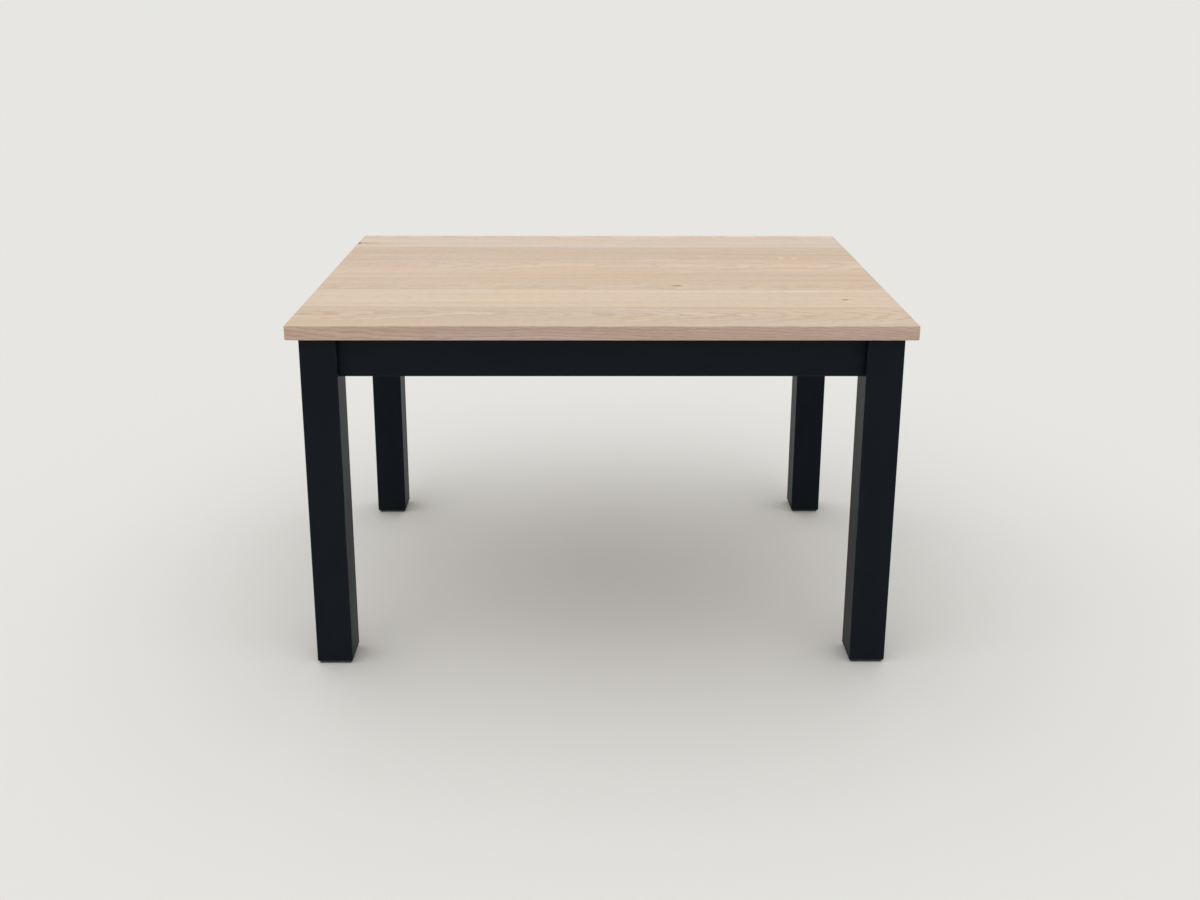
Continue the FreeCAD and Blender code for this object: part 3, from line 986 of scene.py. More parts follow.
class Bench:
    """Holds one piece while operators shape it.

    Attributes:
        piece: the object on the bench.
    """

    def __init__(self, name: str) -> None:
        """Take up the primitive that was added last.

        Args:
            name: the piece's name.
        """
        self.piece = bpy.context.active_object
        self.piece.name = name
        self.settle()

    @classmethod
    def box(cls, name: str, low: Vector, high: Vector) -> "Bench":
        """Start from a box.

        Args:
            name: the piece's name.
            low: the box's lowest corner.
            high: its highest corner.

        Returns:
            The bench with the box on it.
        """
        put_all_down()
        bpy.ops.mesh.primitive_cube_add(size=1.0, location=(low + high) / 2)
        bpy.context.active_object.scale = high - low
        return cls(name)

    @classmethod
    def rod(cls, name: str, radius: float, low: float, high: float, sides: int) -> "Bench":
        """Start from an upright prism about Z.

        Args:
            name: the piece's name.
            radius: the radius to the prism's corners.
            low: the height of its lower end.
            high: the height of its upper end.
            sides: the number of its sides.

        Returns:
            The bench with the prism on it.
        """
        put_all_down()
        middle = (0.0, 0.0, (low + high) / 2)
        bpy.ops.mesh.primitive_cylinder_add(
            vertices=sides, radius=radius, depth=high - low, location=middle
        )
        return cls(name)

    @classmethod
    def line(cls, name: str, points: Sequence[Vector]) -> "Bench":
        """Start from a plane drawn together to one point, and extrude it along a line.

        Args:
            name: the piece's name.
            points: the points that the line passes.

        Returns:
            The bench with the line on it.
        """
        put_all_down()
        bpy.ops.mesh.primitive_plane_add(size=1.0)
        bench = cls(name)
        bench.start_editing(PartKind.POINTS)
        bpy.ops.mesh.select_all(action="SELECT")
        bpy.ops.mesh.merge(type="CENTER")
        bpy.ops.transform.translate(value=points[0])
        for here, there in zip(points, points[1:]):
            bpy.ops.mesh.extrude_vertices_move(TRANSFORM_OT_translate={"value": there - here})
        bench.stop_editing()
        return bench

    @classmethod
    def turned(cls, name: str, outline: Sequence[tuple[float, float]], sides: int) -> "Bench":
        """Start from half an outline, spun about Z into a closed round piece.

        Args:
            name: the piece's name.
            outline: (radius, height) pairs, from one end of the axis to the other or round.
            sides: the number of steps in the turn.

        Returns:
            The bench with the round piece on it.
        """
        bench = cls.line(name, [Vector((radius, 0.0, height)) for radius, height in outline])
        bench.start_editing(PartKind.POINTS)
        bpy.ops.mesh.select_all(action="SELECT")
        bpy.ops.mesh.spin(steps=sides, angle=math.tau, center=(0, 0, 0), axis=(0, 0, 1))
        bench.stop_editing()
        bench.heal()
        return bench

    def start_editing(self, kind: PartKind) -> None:
        """Enter edit mode with nothing selected.

        Args:
            kind: what will be picked there.
        """
        self.grip()
        bpy.ops.object.mode_set(mode="EDIT")
        bpy.ops.mesh.select_mode(type=kind.value[0])
        bpy.ops.mesh.select_all(action="DESELECT")

    def stop_editing(self) -> None:
        """Go back to object mode with only this piece selected."""
        bpy.ops.object.mode_set(mode="OBJECT")
        self.grip()

    def grip(self) -> None:
        """Select this piece alone and make it active."""
        put_all_down()
        self.piece.select_set(True)
        bpy.context.view_layer.objects.active = self.piece

    def settle(self) -> None:
        """Put the piece's place, turn and scale into its mesh."""
        self.grip()
        bpy.ops.object.transform_apply(location=True, rotation=True, scale=True)

    def heal(self) -> None:
        """Merge doubled points and turn all faces outwards."""
        self.start_editing(PartKind.POINTS)
        bpy.ops.mesh.select_all(action="SELECT")
        bpy.ops.mesh.remove_doubles(threshold=SAME_PLACE)
        bpy.ops.mesh.normals_make_consistent(inside=False)
        self.stop_editing()

    def pick(self, kind: PartKind, test: Test) -> None:
        """Enter edit mode and select the parts whose points pass a test.

        Args:
            kind: points, edges or faces.
            test: says of a part's points whether the part is picked.
        """
        self.start_editing(kind)
        mesh = bmesh.from_edit_mesh(self.piece.data)
        for part in getattr(mesh, kind.value[1]):
            corners = [part] if kind is PartKind.POINTS else part.verts
            if test([corner.co for corner in corners]):
                part.select_set(True)
        bmesh.update_edit_mesh(self.piece.data)

    def bevel(self, test: Test, width: float, steps: int) -> None:
        """Round or chamfer some edges.

        Args:
            test: says of an edge's ends whether the edge is picked.
            width: how far the bevel reaches from the edge.
            steps: the number of faces across it.
        """
        self.pick(PartKind.EDGES, test)
        bpy.ops.mesh.bevel(offset=width, segments=steps, affect="EDGES")
        self.stop_editing()

    def draw_out(self, shift: Vector) -> None:
        """Extrude the whole line on the bench into a strip.

        Args:
            shift: how far and which way the line is drawn.
        """
        self.pick(PartKind.EDGES, lambda ends: True)
        bpy.ops.mesh.extrude_region_move(TRANSFORM_OT_translate={"value": shift})
        self.stop_editing()

    def slice_at(self, height: float) -> None:
        """Cut a level line of edges round the piece.

        Args:
            height: the height of the line.
        """
        self.pick(PartKind.FACES, lambda corners: True)
        bpy.ops.mesh.bisect(plane_co=(0.0, 0.0, height), plane_no=(0.0, 0.0, 1.0))
        self.stop_editing()

    def stretch(self, test: Test, scale: Triple, middle: Vector) -> None:
        """Stretch some points away from a middle, or draw them together.

        Args:
            test: says of a point whether it is picked.
            scale: how much the points are stretched along each axis.
            middle: the place that stays.
        """
        self.pick(PartKind.POINTS, test)
        bpy.ops.transform.resize(value=scale, center_override=middle)
        self.stop_editing()

    def modify(self, kind: str, settings: Settings) -> None:
        """Add a modifier, set it and apply it.

        Args:
            kind: the modifier's type.
            settings: its properties.
        """
        self.grip()
        bpy.ops.object.modifier_add(type=kind)
        modifier = self.piece.modifiers[-1]
        for key, value in settings.items():
            setattr(modifier, key, value)
        bpy.ops.object.modifier_apply(modifier=modifier.name)

    def thicken(self, thickness: float) -> None:
        """Give a strip the thickness of its sheet, half to each side."""
        self.modify("SOLIDIFY", {"thickness": thickness, "offset": 0.0, "use_even_offset": True})
        self.heal()

    def combine(self, operation: str, other: "Bench") -> None:
        """Combine this piece with another one, and throw that one away.

        Args:
            operation: the Boolean modifier's operation.
            other: the bench with the other piece on it.
        """
        settings = {"operation": operation, "solver": "EXACT", "object": other.piece}
        self.modify("BOOLEAN", settings)
        bpy.data.objects.remove(other.piece)

    def cut(self, cutter: "Bench") -> None:
        """Take another piece's space out of this one."""
        self.combine("DIFFERENCE", cutter)

    def keep_inside(self, other: "Bench") -> None:
        """Keep only what lies inside another piece."""
        self.combine("INTERSECT", other)

    def join(self, other: "Bench") -> None:
        """Join another piece into this one.

        Args:
            other: the bench with the other piece on it.
        """
        self.grip()
        other.piece.select_set(True)
        bpy.ops.object.join()

    def move(self, place: Matrix) -> "Bench":
        """Move the piece and put the move into its mesh.

        Args:
            place: where the piece goes.

        Returns:
            The bench itself.
        """
        self.piece.matrix_world = place
        self.settle()
        return self

    def soften(self, angle: float = SMOOTH_ANGLE) -> None:
        """Shade the piece smooth except at edges sharper than an angle in degrees."""
        self.grip()
        bpy.ops.object.shade_smooth_by_angle(angle=math.radians(angle))

    def copies(self, names: Sequence[str], places: Sequence[Matrix]) -> list[bpy.types.Object]:
        """Place copies of the piece, each with its own mesh, and keep no original.

        Args:
            names: the name of each copy.
            places: where each copy goes.

        Returns:
            The copies.
        """
        made = []
        for name, place in zip(names, places):
            self.grip()
            bpy.ops.object.duplicate(linked=False)
            copy = Bench(name)
            made.append(copy.move(place).piece)
        bpy.data.objects.remove(self.piece)
        return made


def dress(
    pieces: Sequence[bpy.types.Object], node: str, finish: bpy.types.Material
) -> None:
    """Give new pieces their finish and tie them to the frame.

    Args:
        pieces: the pieces that together stand for one CAD node.
        node: the CAD node that they replace.
        finish: their material.
    """
    for piece in pieces:
        piece.data.materials.clear()
        piece.data.materials.append(finish)
        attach(piece, ROOT_BODY)
        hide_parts(node)
        LOG.info("%s stands for %s: %d faces", piece.name, node, len(piece.data.polygons))


def repaint(node: str, finish: bpy.types.Material) -> None:
    """Give a CAD node a new finish in each of its material slots.

    Args:
        node: the CAD node.
        finish: its material.
    """
    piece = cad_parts[node]
    for slot in piece.material_slots:
        slot.material = finish
    LOG.info("%s keeps its shape and takes %s", node, finish.name)


def facing_along(place: Vector, direction: Vector) -> Matrix:
    """Return the place of a piece drawn upwards from zero, so that it runs along a direction."""
    return Matrix.Translation(place) @ direction.to_track_quat("Z", "Y").to_matrix().to_4x4()


# Sub-assemblies

@dataclass
class BoardTop:
    """The oak top: six boards glued edge to edge over loose tongues."""

    figures: tuple[BoardFigure, ...] = (
        BoardFigure(
            pith_side=0.012, pith_depth=0.075, taper=0.050, ring_width=0.0046,
            tone=(0.972, 0.974, 0.970), contrast=1.5, depth=1.4,
            marks=(
                WoodMark(MarkKind.SHADE, -0.560, -0.345, 0.130, 0.030, 0.45),
                WoodMark(MarkKind.BLUSH, -0.080, -0.340, 0.100, 0.030, 0.8),
                WoodMark(MarkKind.SHADE, 0.030, -0.352, 0.060, 0.008, 0.35),
                WoodMark(MarkKind.SHADE, 0.330, -0.302, 0.330, 0.012, 0.30),
                WoodMark(MarkKind.SHADE, 0.215, -0.372, 0.060, 0.012, 0.35),
                WoodMark(MarkKind.FLECK, 0.050, -0.360, 0.050, 0.008, 0.19),
            ),
        ),
        BoardFigure(
            pith_side=0.110, pith_depth=0.060, taper=0.012, ring_width=0.0036,
            tone=(1.078, 1.106, 1.122), contrast=0.7, depth=1.6,
            marks=(
                WoodMark(MarkKind.KNOT, 0.522, -0.232, 0.010, 0.0055, 1.0),
                WoodMark(MarkKind.FLECK, 0.527, -0.247, 0.014, 0.007, 0.4),
                WoodMark(MarkKind.SHADE, 0.420, -0.190, 0.240, 0.014, 0.28),
                WoodMark(MarkKind.FLECK, -0.470, -0.272, 0.150, 0.006, 0.16),
            ),
        ),
        BoardFigure(
            pith_side=-0.050, pith_depth=0.100, taper=-0.028, ring_width=0.0042,
            tone=(0.982, 0.971, 0.966), contrast=0.7, depth=1.15,
            marks=(
                WoodMark(MarkKind.KNOT, 0.171, -0.110, 0.0150, 0.0090, 0.8),
                WoodMark(MarkKind.FLECK, 0.172, -0.093, 0.013, 0.008, 0.4),
                WoodMark(MarkKind.FLECK, 0.173, -0.133, 0.012, 0.010, 0.4),
                WoodMark(MarkKind.BLUSH, 0.060, -0.030, 0.120, 0.040, 0.9),
                WoodMark(MarkKind.FLECK, 0.572, 0.007, 0.040, 0.006, 0.38),
            ),
        ),
        BoardFigure(
            pith_side=0.020, pith_depth=0.120, taper=0.035, ring_width=0.0050,
            tone=(1.022, 1.017, 1.020), contrast=0.65, depth=1.35,
            marks=(
                WoodMark(MarkKind.FLECK, 0.200, 0.024, 0.030, 0.010, 0.4),
                WoodMark(MarkKind.BLUSH, -0.470, 0.075, 0.120, 0.050, 0.7),
                WoodMark(MarkKind.SHADE, 0.330, 0.050, 0.090, 0.012, 0.25),
            ),
        ),
        BoardFigure(
            pith_side=-0.090, pith_depth=0.070, taper=0.020, ring_width=0.0038,
            tone=(0.980, 0.980, 0.995), contrast=0.9, depth=2.3,
            marks=(
                WoodMark(MarkKind.FLECK, 0.447, 0.171, 0.0115, 0.016, 1.0),
                WoodMark(MarkKind.FLECK, 0.480, 0.167, 0.0155, 0.014, 0.8),
                WoodMark(MarkKind.FLECK, 0.252, 0.186, 0.016, 0.012, 0.45),
                WoodMark(MarkKind.SHADE, -0.450, 0.284, 0.160, 0.012, 0.45),
                WoodMark(MarkKind.BLUSH, -0.510, 0.215, 0.090, 0.040, 0.7),
                WoodMark(MarkKind.BLUSH, 0.200, 0.220, 0.260, 0.045, 0.8),
            ),
        ),
        BoardFigure(
            pith_side=0.060, pith_depth=0.090, taper=-0.018, ring_width=0.0044,
            # The far board's whiter, bluer tone is partly its own and partly a painted sheen, the
            # light it reflects at a grazing angle.
            tone=(1.062, 1.105, 1.185), contrast=0.8, depth=1.6,
            marks=(
                WoodMark(MarkKind.KNOT, -0.630, 0.338, 0.014, 0.016, 1.0),
                WoodMark(MarkKind.SHADE, -0.605, 0.339, 0.050, 0.022, 0.8),
                WoodMark(MarkKind.SHADE, -0.560, 0.339, 0.110, 0.020, 0.5),
            ),
        ),
    )

    def dress(self) -> None:
        """Give each board the finish of its own figure, and the tongues bare beech."""
        for number, figure in enumerate(self.figures, start=1):
            low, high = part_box("top_board_%d" % number)
            middle = (low + high) / 2
            finish = WhitenedOak(number, figure, middle, (high.y - low.y) / 2)
            repaint("top_board_%d" % number, finish.material())
        beech = BareBeech().material()
        for number in range(1, len(self.figures)):
            repaint("top_tongue_%d" % number, beech)
        repaint("loose_tenons", beech)


@dataclass(frozen=True)
class PaintCoat:
    """The paint of some alike pieces.

    Attributes:
        name: the finish's name.
        run: which way the wood under it runs.
        axes: the numbers of the two axes across the pieces' length.
        nodes: the CAD nodes that wear it, the one on the table's +X or +Y side last.
    """

    name: str
    run: GrainRun
    axes: tuple[int, int]
    nodes: tuple[str, ...]


@dataclass
class PaintedFrame:
    """Four legs, four aprons and the batten, in black paint."""

    coats: tuple[PaintCoat, ...] = (
        PaintCoat(
            "leg_paint", GrainRun.UPRIGHT, (0, 1),
            ("leg_front_left", "leg_front_right", "leg_back_left", "leg_back_right")
        ),
        PaintCoat("long_apron_paint", GrainRun.ALONG, (1, 2), ("apron_front", "apron_back")),
        PaintCoat("short_apron_paint", GrainRun.ACROSS, (0, 2), ("apron_left", "apron_right")),
        PaintCoat("batten_paint", GrainRun.ACROSS, (0, 2), ("cross_batten",)),
    )

    def dress(self) -> None:
        """Paint the frame, with its grain and its rubbed edges where each piece has them."""
        for coat in self.coats:
            edges = PaintedEdges.of_node(coat.nodes[-1], coat.axes)
            finish = BlackPaint(coat.name, coat.run, edges).material()
            for node in coat.nodes:
                repaint(node, finish)


@dataclass(frozen=True)
class CornerSpace:
    """The space of one corner: zero on the floor at the leg's outer corner, both ways inwards."""

    name: str

    def outer(self) -> Vector:
        """Find the leg's outer corner.

        Returns:
            Its place on the floor.
        """
        low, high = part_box("leg_" + self.name)
        x = low.x if self.name.endswith("left") else high.x
        y = low.y if self.name.startswith("front") else high.y
        return Vector((x, y, 0.0))

    def matrix(self) -> Matrix:
        """Return the place and turn of the corner's space."""
        turn = CORNERS.index(self.name) * math.pi / 2
        return Matrix.Translation(self.outer()) @ Matrix.Rotation(turn, 4, "Z")


@dataclass
class FeltPads:
    """The pressed felt pads under the legs, a little bulged by the table's weight."""

    corner_radius: float = 4.0 * MILLIMETRE
    corner_steps: int = 6
    rim_radius: float = 1.2 * MILLIMETRE
    rim_steps: int = 3
    bulge: float = 0.35 * MILLIMETRE
    smooth_angle: float = 50.0

    def build(self) -> None:
        """Model one pad, place it under each leg and dress it."""
        nodes = ["felt_pad_" + corner for corner in CORNERS]
        boxes = [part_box(node) for node in nodes]
        low, high = boxes[0]
        names = ["pressed_" + node for node in nodes]
        places = [Matrix.Translation((start + end) / 2) for start, end in boxes]
        pads = self.pad(high - low).copies(names, places)
        finish = PressedFelt().material()
        for node, pad in zip(nodes, pads):
            dress([pad], node, finish)

    def pad(self, size: Vector) -> Bench:
        """Model a pad about zero.

        Args:
            size: its size each way, with the bulge.

        Returns:
            The bench with the pad on it.
        """
        half = size / 2
        inset = Vector((self.bulge, self.bulge, 0.0))

        def on_rim(ends: Sequence[Vector]) -> bool:
            """Say whether an edge lies in the pad's upper or lower face."""
            return all(half.z - abs(end.z) < SAME_PLACE for end in ends)

        def half_way_up(point: Sequence[Vector]) -> bool:
            """Say whether a point lies on the line round the pad's middle."""
            return abs(point[0].z) < SAME_PLACE

        bench = Bench.box("pad", inset - half, half - inset)
        bench.bevel(is_upright, self.corner_radius, self.corner_steps)
        bench.bevel(on_rim, self.rim_radius, self.rim_steps)
        bench.slice_at(0.0)
        waist = (half.x / (half.x - self.bulge), half.y / (half.y - self.bulge), 1.0)
        bench.stretch(half_way_up, waist, Vector((0.0, 0.0, 0.0)))
        bench.soften(self.smooth_angle)
        return bench


@dataclass(frozen=True)
class Thread:
    """The ridge of a screw thread about Z, closed at both ends.

    Attributes:
        core: the radius of what carries the ridge.
        crest: the radius of the ridge's crest.
        pitch: the rise of one turn.
        low: where the ridge starts.
        high: where it ends.
        section_share: the radius of its three-sided section, as a share of the thread's depth.
        turn_steps: the number of steps in one turn.
        merge_distance: how close together the steps' points are merged.
    """

    core: float
    crest: float
    pitch: float
    low: float
    high: float
    section_share: float = 0.75
    turn_steps: int = 16
    merge_distance: float = 0.001 * MILLIMETRE

    def wind(self) -> Bench:
        """Draw the ridge's section and wind it up.

        Returns:
            The bench with the ridge on it.
        """
        section_radius = (self.crest - self.core) * self.section_share
        put_all_down()
        bpy.ops.mesh.primitive_circle_add(
            vertices=3,
            radius=section_radius,
            location=(self.crest - section_radius, 0.0, self.low),
            rotation=(math.pi / 2, math.pi / 2, 0.0),
        )
        ridge = Bench("thread_ridge")
        settings = {
            "axis": "Z",
            "angle": math.tau,
            "screw_offset": self.pitch,
            "iterations": max(1, round((self.high - self.low) / self.pitch)),
            "steps": self.turn_steps,
            "render_steps": self.turn_steps,
            "use_merge_vertices": True,
            "merge_threshold": self.merge_distance,
        }
        ridge.modify("SCREW", settings)
        ridge.start_editing(PartKind.POINTS)
        bpy.ops.mesh.select_all(action="SELECT")
        bpy.ops.mesh.fill_holes(sides=3)
        bpy.ops.mesh.select_all(action="SELECT")
        bpy.ops.mesh.normals_make_consistent(inside=False)
        ridge.stop_editing()
        return ridge


@dataclass
class WoodScrew:
    """A pan head wood screw with a cross recess and a thread.

    The underside of its head is at zero, with the head below and the point above.
    """

    length: float
    head_radius: float = 4.25 * MILLIMETRE
    head_height: float = 2.6 * MILLIMETRE
    head_rim: float = 0.55 * MILLIMETRE
    crown_steps: int = 5
    core_radius: float = 1.45 * MILLIMETRE
    thread_radius: float = 2.05 * MILLIMETRE
    pitch: float = 1.8 * MILLIMETRE
    point_length: float = 4.0 * MILLIMETRE
    recess_length: float = 4.6 * MILLIMETRE
    recess_width: float = 0.95 * MILLIMETRE
    recess_depth: float = 1.6 * MILLIMETRE
    recess_taper: Triple = (0.45, 0.8, 1.0)
    sides: int = 24

    def model(self) -> Bench:
        """Turn the screw, cut its recess and wind its thread.

        Returns:
            The bench with the screw on it.
        """
        neck = self.length - self.point_length
        bench = Bench.turned("wood_screw", self.outline(neck), self.sides)
        for turn in (0.0, math.pi / 2):
            bench.cut(self.recess_arm(turn))
        thread = Thread(self.core_radius, self.thread_radius, self.pitch, self.pitch, neck)
        bench.join(thread.wind())
        bench.soften()
        return bench

    def outline(self, neck: float) -> list[tuple[float, float]]:
        """Draw half the screw's outline, from the crown of its head to its point.

        Args:
            neck: the height at which its point starts.

        Returns:
            (radius, height) pairs.
        """
        outline = []
        for step in range(self.crown_steps + 1):
            angle = step * math.pi / 2 / self.crown_steps
            drop = (self.head_height - self.head_rim) * math.cos(angle)
            outline.append((self.head_radius * math.sin(angle), -self.head_rim - drop))
        outline.append((self.head_radius, 0.0))
        outline.append((self.core_radius, 0.0))
        outline.append((self.core_radius, neck))
        outline.append((0.0, self.length))
        return outline

    def recess_arm(self, turn: float) -> Bench:
        """Shape the cutter of one arm of the cross recess.

        Args:
            turn: how far the arm is turned about the screw.

        Returns:
            The bench with the cutter on it.
        """
        reach = Vector((self.recess_length / 2, self.recess_width / 2, 0.0))
        bottom = Vector((0.0, 0.0, -self.head_height - self.recess_depth))
        top = Vector((0.0, 0.0, self.recess_depth - self.head_height))

        def at_top(point: Sequence[Vector]) -> bool:
            """Say whether a point lies in the cutter's upper face."""
            return point[0].z > top.z - SAME_PLACE

        arm = Bench.box("recess_arm", bottom - reach, top + reach)
        arm.stretch(at_top, self.recess_taper, top)
        return arm.move(Matrix.Rotation(turn, 4, "Z"))


@dataclass
class CornerJoint:
    """The steel of one corner: bracket, hanger bolt, washer, nut and four screws.

    The bracket is drawn in the corner's own space, and the other pieces upright from zero.

    Attributes:
        apron_inner: how deep in the corner the aprons' inner faces stand.
        bolt_height: the height of the bolt.
        cut_depth: how deep the leg's cut corner stands each way, where the bolt passes it.
        web_middle_sum: the sum of both depths along the middle of the bracket's web.
        wing_start: how deep the bracket's wings start.
        lip_middle: how deep the middle of the bracket's lips stands.
    """

    sheet_thickness: float = 2.0 * MILLIMETRE
    bracket_height: float = 60.0 * MILLIMETRE
    bend_radius: float = 2.0 * MILLIMETRE
    bend_steps: int = 5
    lip_depth: float = 7.0 * MILLIMETRE
    wing_length: float = 42.0 * MILLIMETRE
    leg_corner_cut: float = 20.0 * MILLIMETRE
    leg_gap: float = 14.0 * MILLIMETRE
    screw_spacing: float = 30.0 * MILLIMETRE
    screw_length: float = 16.0 * MILLIMETRE
    screw_hole_radius: float = 2.35 * MILLIMETRE
    screw_hole_sides: int = 24
    bolt_radius: float = 4.0 * MILLIMETRE
    bolt_core_radius: float = 3.35 * MILLIMETRE
    bolt_pitch: float = 1.25 * MILLIMETRE
    bolt_tip_length: float = 7.0 * MILLIMETRE
    wood_core_radius: float = 2.7 * MILLIMETRE
    wood_pitch: float = 3.0 * MILLIMETRE
    shank_in_leg: float = 6.0 * MILLIMETRE
    shank_out_of_leg: float = 2.0 * MILLIMETRE
    bolt_length: float = 90.0 * MILLIMETRE
    bolt_leg_depth: float = 55.0 * MILLIMETRE
    bolt_sides: int = 32
    bolt_hole_radius: float = 4.2 * MILLIMETRE
    washer_radius: float = 12.0 * MILLIMETRE
    washer_thickness: float = 1.6 * MILLIMETRE
    washer_ease_share: float = 1 / 6
    nut_sides: int = 6
    nut_width: float = 13.0 * MILLIMETRE
    nut_height: float = 6.5 * MILLIMETRE
    nut_bore_radius: float = 4.05 * MILLIMETRE
    nut_face_share: float = 0.96
    nut_reach_share: float = 1.01
    nut_chamfer_angle: float = 30.0
    round_sides: int = 48
    diagonal: Vector = field(default_factory=lambda: Vector((1.0, 1.0, 0.0)).normalized())
    apron_inner: float = field(init=False)
    bolt_height: float = field(init=False)
    cut_depth: float = field(init=False)
    web_middle_sum: float = field(init=False)
    wing_start: float = field(init=False)
    lip_middle: float = field(init=False)

    def __post_init__(self) -> None:
        """Read from the frame how deep the aprons and the leg stand in the corner."""
        outer = CornerSpace("front_left").outer()
        low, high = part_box("apron_front")
        self.apron_inner = high.y - outer.y
        self.bolt_height = (low.z + high.z) / 2
        leg_low, leg_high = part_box("leg_front_left")
        cut_sum = 2 * (leg_high.x - leg_low.x) - self.leg_corner_cut
        web_sum = cut_sum + self.leg_gap * math.sqrt(2)
        self.cut_depth = cut_sum / 2
        self.web_middle_sum = web_sum + self.sheet_thickness / math.sqrt(2)
        inner_sum = web_sum + self.sheet_thickness * math.sqrt(2)
        self.wing_start = inner_sum - self.apron_inner - self.sheet_thickness
        self.lip_middle = self.wing_start + self.wing_length - self.sheet_thickness / 2

    def build(self) -> None:
        """Model each piece once, place it in all four corners and dress it."""
        places = [CornerSpace(name).matrix() for name in CORNERS]
        bright = ZincPlate("bright_zinc").material()
        dull = ZincPlate("pressed_zinc", ZincSheen.DULL).material()
        names = ["pressed_bracket_" + name for name in CORNERS]
        for name, piece in zip(CORNERS, self.bracket().copies(names, places)):
            dress([piece], "corner_bracket_" + name, dull)
        for node, word, bench, distance in (
            ("hanger_bolts", "hanger_bolt_", self.bolt(), -self.bolt_leg_depth),
            ("bolt_washers", "round_washer_", self.washer(), self.leg_gap + self.sheet_thickness),
            ("bolt_nuts", "hexagon_nut_", self.nut(), self.nut_start()),
        ):
            seat = facing_along(self.bolt_point(distance), self.diagonal)
            names = [word + name for name in CORNERS]
            copies = bench.copies(names, [place @ seat for place in places])
            dress(copies, node, bright)
        seats = [place @ seat for place in places for seat in self.screw_seats()]
        names = ["bracket_screw_%02d" % number for number in range(1, len(seats) + 1)]
        screws = WoodScrew(self.screw_length).model().copies(names, seats)
        dress(screws, "bracket_screws", bright)

    def bolt_point(self, distance: float) -> Vector:
        """Return a point on the bolt's line, by its distance from the leg's cut corner."""
        return Vector((self.cut_depth, self.cut_depth, self.bolt_height)) + self.diagonal * distance

    def nut_start(self) -> float:
        """Return where on the bolt's line the nut starts."""
        return self.leg_gap + self.sheet_thickness + self.washer_thickness

    def screw_seats(self) -> list[Matrix]:
        """Find where the heads of the bracket's four screws rest.

        Returns:
            The places of the screws in the corner's space.
        """
        lip_near = self.lip_middle - self.sheet_thickness / 2
        along = (self.wing_start + lip_near) / 2
        face = self.apron_inner + self.sheet_thickness
        seats = []
        for rise in (-self.screw_spacing / 2, self.screw_spacing / 2):
            height = self.bolt_height + rise
            seats.append(facing_along(Vector((along, face, height)), Vector((0.0, -1.0, 0.0))))
            seats.append(facing_along(Vector((face, along, height)), Vector((-1.0, 0.0, 0.0))))
        return seats

    def bracket(self) -> Bench:
        """Bend the bracket from its middle line, thicken it and drill it.

        Returns:
            The bench with the bracket on it.
        """
        wing = self.apron_inner + self.sheet_thickness / 2
        bottom = self.bolt_height - self.bracket_height / 2
        one_side = [
            (self.lip_middle, self.apron_inner - self.lip_depth),
            (self.lip_middle, wing),
            (self.web_middle_sum - wing, wing),
        ]
        plan = one_side + [(y, x) for x, y in reversed(one_side)]
        bends = [Vector(place) for place in plan[1:-1]]

        def at_bend(ends: Sequence[Vector]) -> bool:
            """Say whether an edge is the line of a bend."""
            gaps = [(ends[0].xy - bend).length for bend in bends]
            return is_upright(ends) and min(gaps) < SAME_PLACE

        bench = Bench.line("bracket", [Vector((x, y, bottom)) for x, y in plan])
        bench.draw_out(Vector((0.0, 0.0, self.bracket_height)))
        bench.bevel(at_bend, self.bend_radius, self.bend_steps)
        bench.thicken(self.sheet_thickness)
        reach = 2 * self.sheet_thickness
        web_middle = self.bolt_point(self.leg_gap + self.sheet_thickness / 2)
        drill = Bench.rod("drill", self.bolt_hole_radius, -reach, reach, self.bolt_sides)
        bench.cut(drill.move(facing_along(web_middle, self.diagonal)))
        for seat in self.screw_seats():
            drill = Bench.rod("drill", self.screw_hole_radius, -reach, reach, self.screw_hole_sides)
            bench.cut(drill.move(seat))
        bench.soften()
        return bench

    def bolt(self) -> Bench:
        """Turn the hanger bolt and wind its wood thread and its machine thread.

        Returns:
            The bench with the bolt on it, its point at zero.
        """
        wood_end = self.bolt_leg_depth - self.shank_in_leg
        steel_start = self.bolt_leg_depth + self.shank_out_of_leg
        steel_end = self.bolt_length - self.bolt_pitch
        chamfer = self.bolt_radius - self.bolt_core_radius
        shank_radius = self.bolt_radius - chamfer / 2
        outline = [
            (0.0, 0.0),
            (self.wood_core_radius, self.bolt_tip_length),
            (self.wood_core_radius, wood_end),
            (shank_radius, wood_end + chamfer),
            (shank_radius, steel_start),
            (self.bolt_core_radius, steel_start + chamfer),
            (self.bolt_core_radius, self.bolt_length - chamfer),
            (self.bolt_core_radius - chamfer, self.bolt_length),
            (0.0, self.bolt_length),
        ]
        bench = Bench.turned("hanger_bolt", outline, self.bolt_sides)
        for core, pitch, low, high in (
            (self.wood_core_radius, self.wood_pitch, self.bolt_tip_length, wood_end),
            (self.bolt_core_radius, self.bolt_pitch, steel_start, steel_end),
        ):
            bench.join(Thread(core, self.bolt_radius, pitch, low, high).wind())
        bench.soften()
        return bench

    def washer(self) -> Bench:
        """Turn the washer, its rims a little rounded by stamping.

        Returns:
            The bench with the washer on it.
        """
        inner = self.bolt_hole_radius
        outer = self.washer_radius
        top = self.washer_thickness
        ease = top * self.washer_ease_share
        outline = [
            (inner, 0.0),
            (outer - ease, 0.0),
            (outer, ease),
            (outer, top - ease),
            (outer - 2 * ease, top),
            (inner + ease, top),
            (inner, top - ease),
            (inner, 0.0),
        ]
        bench = Bench.turned("washer", outline, self.round_sides)
        bench.soften()
        return bench

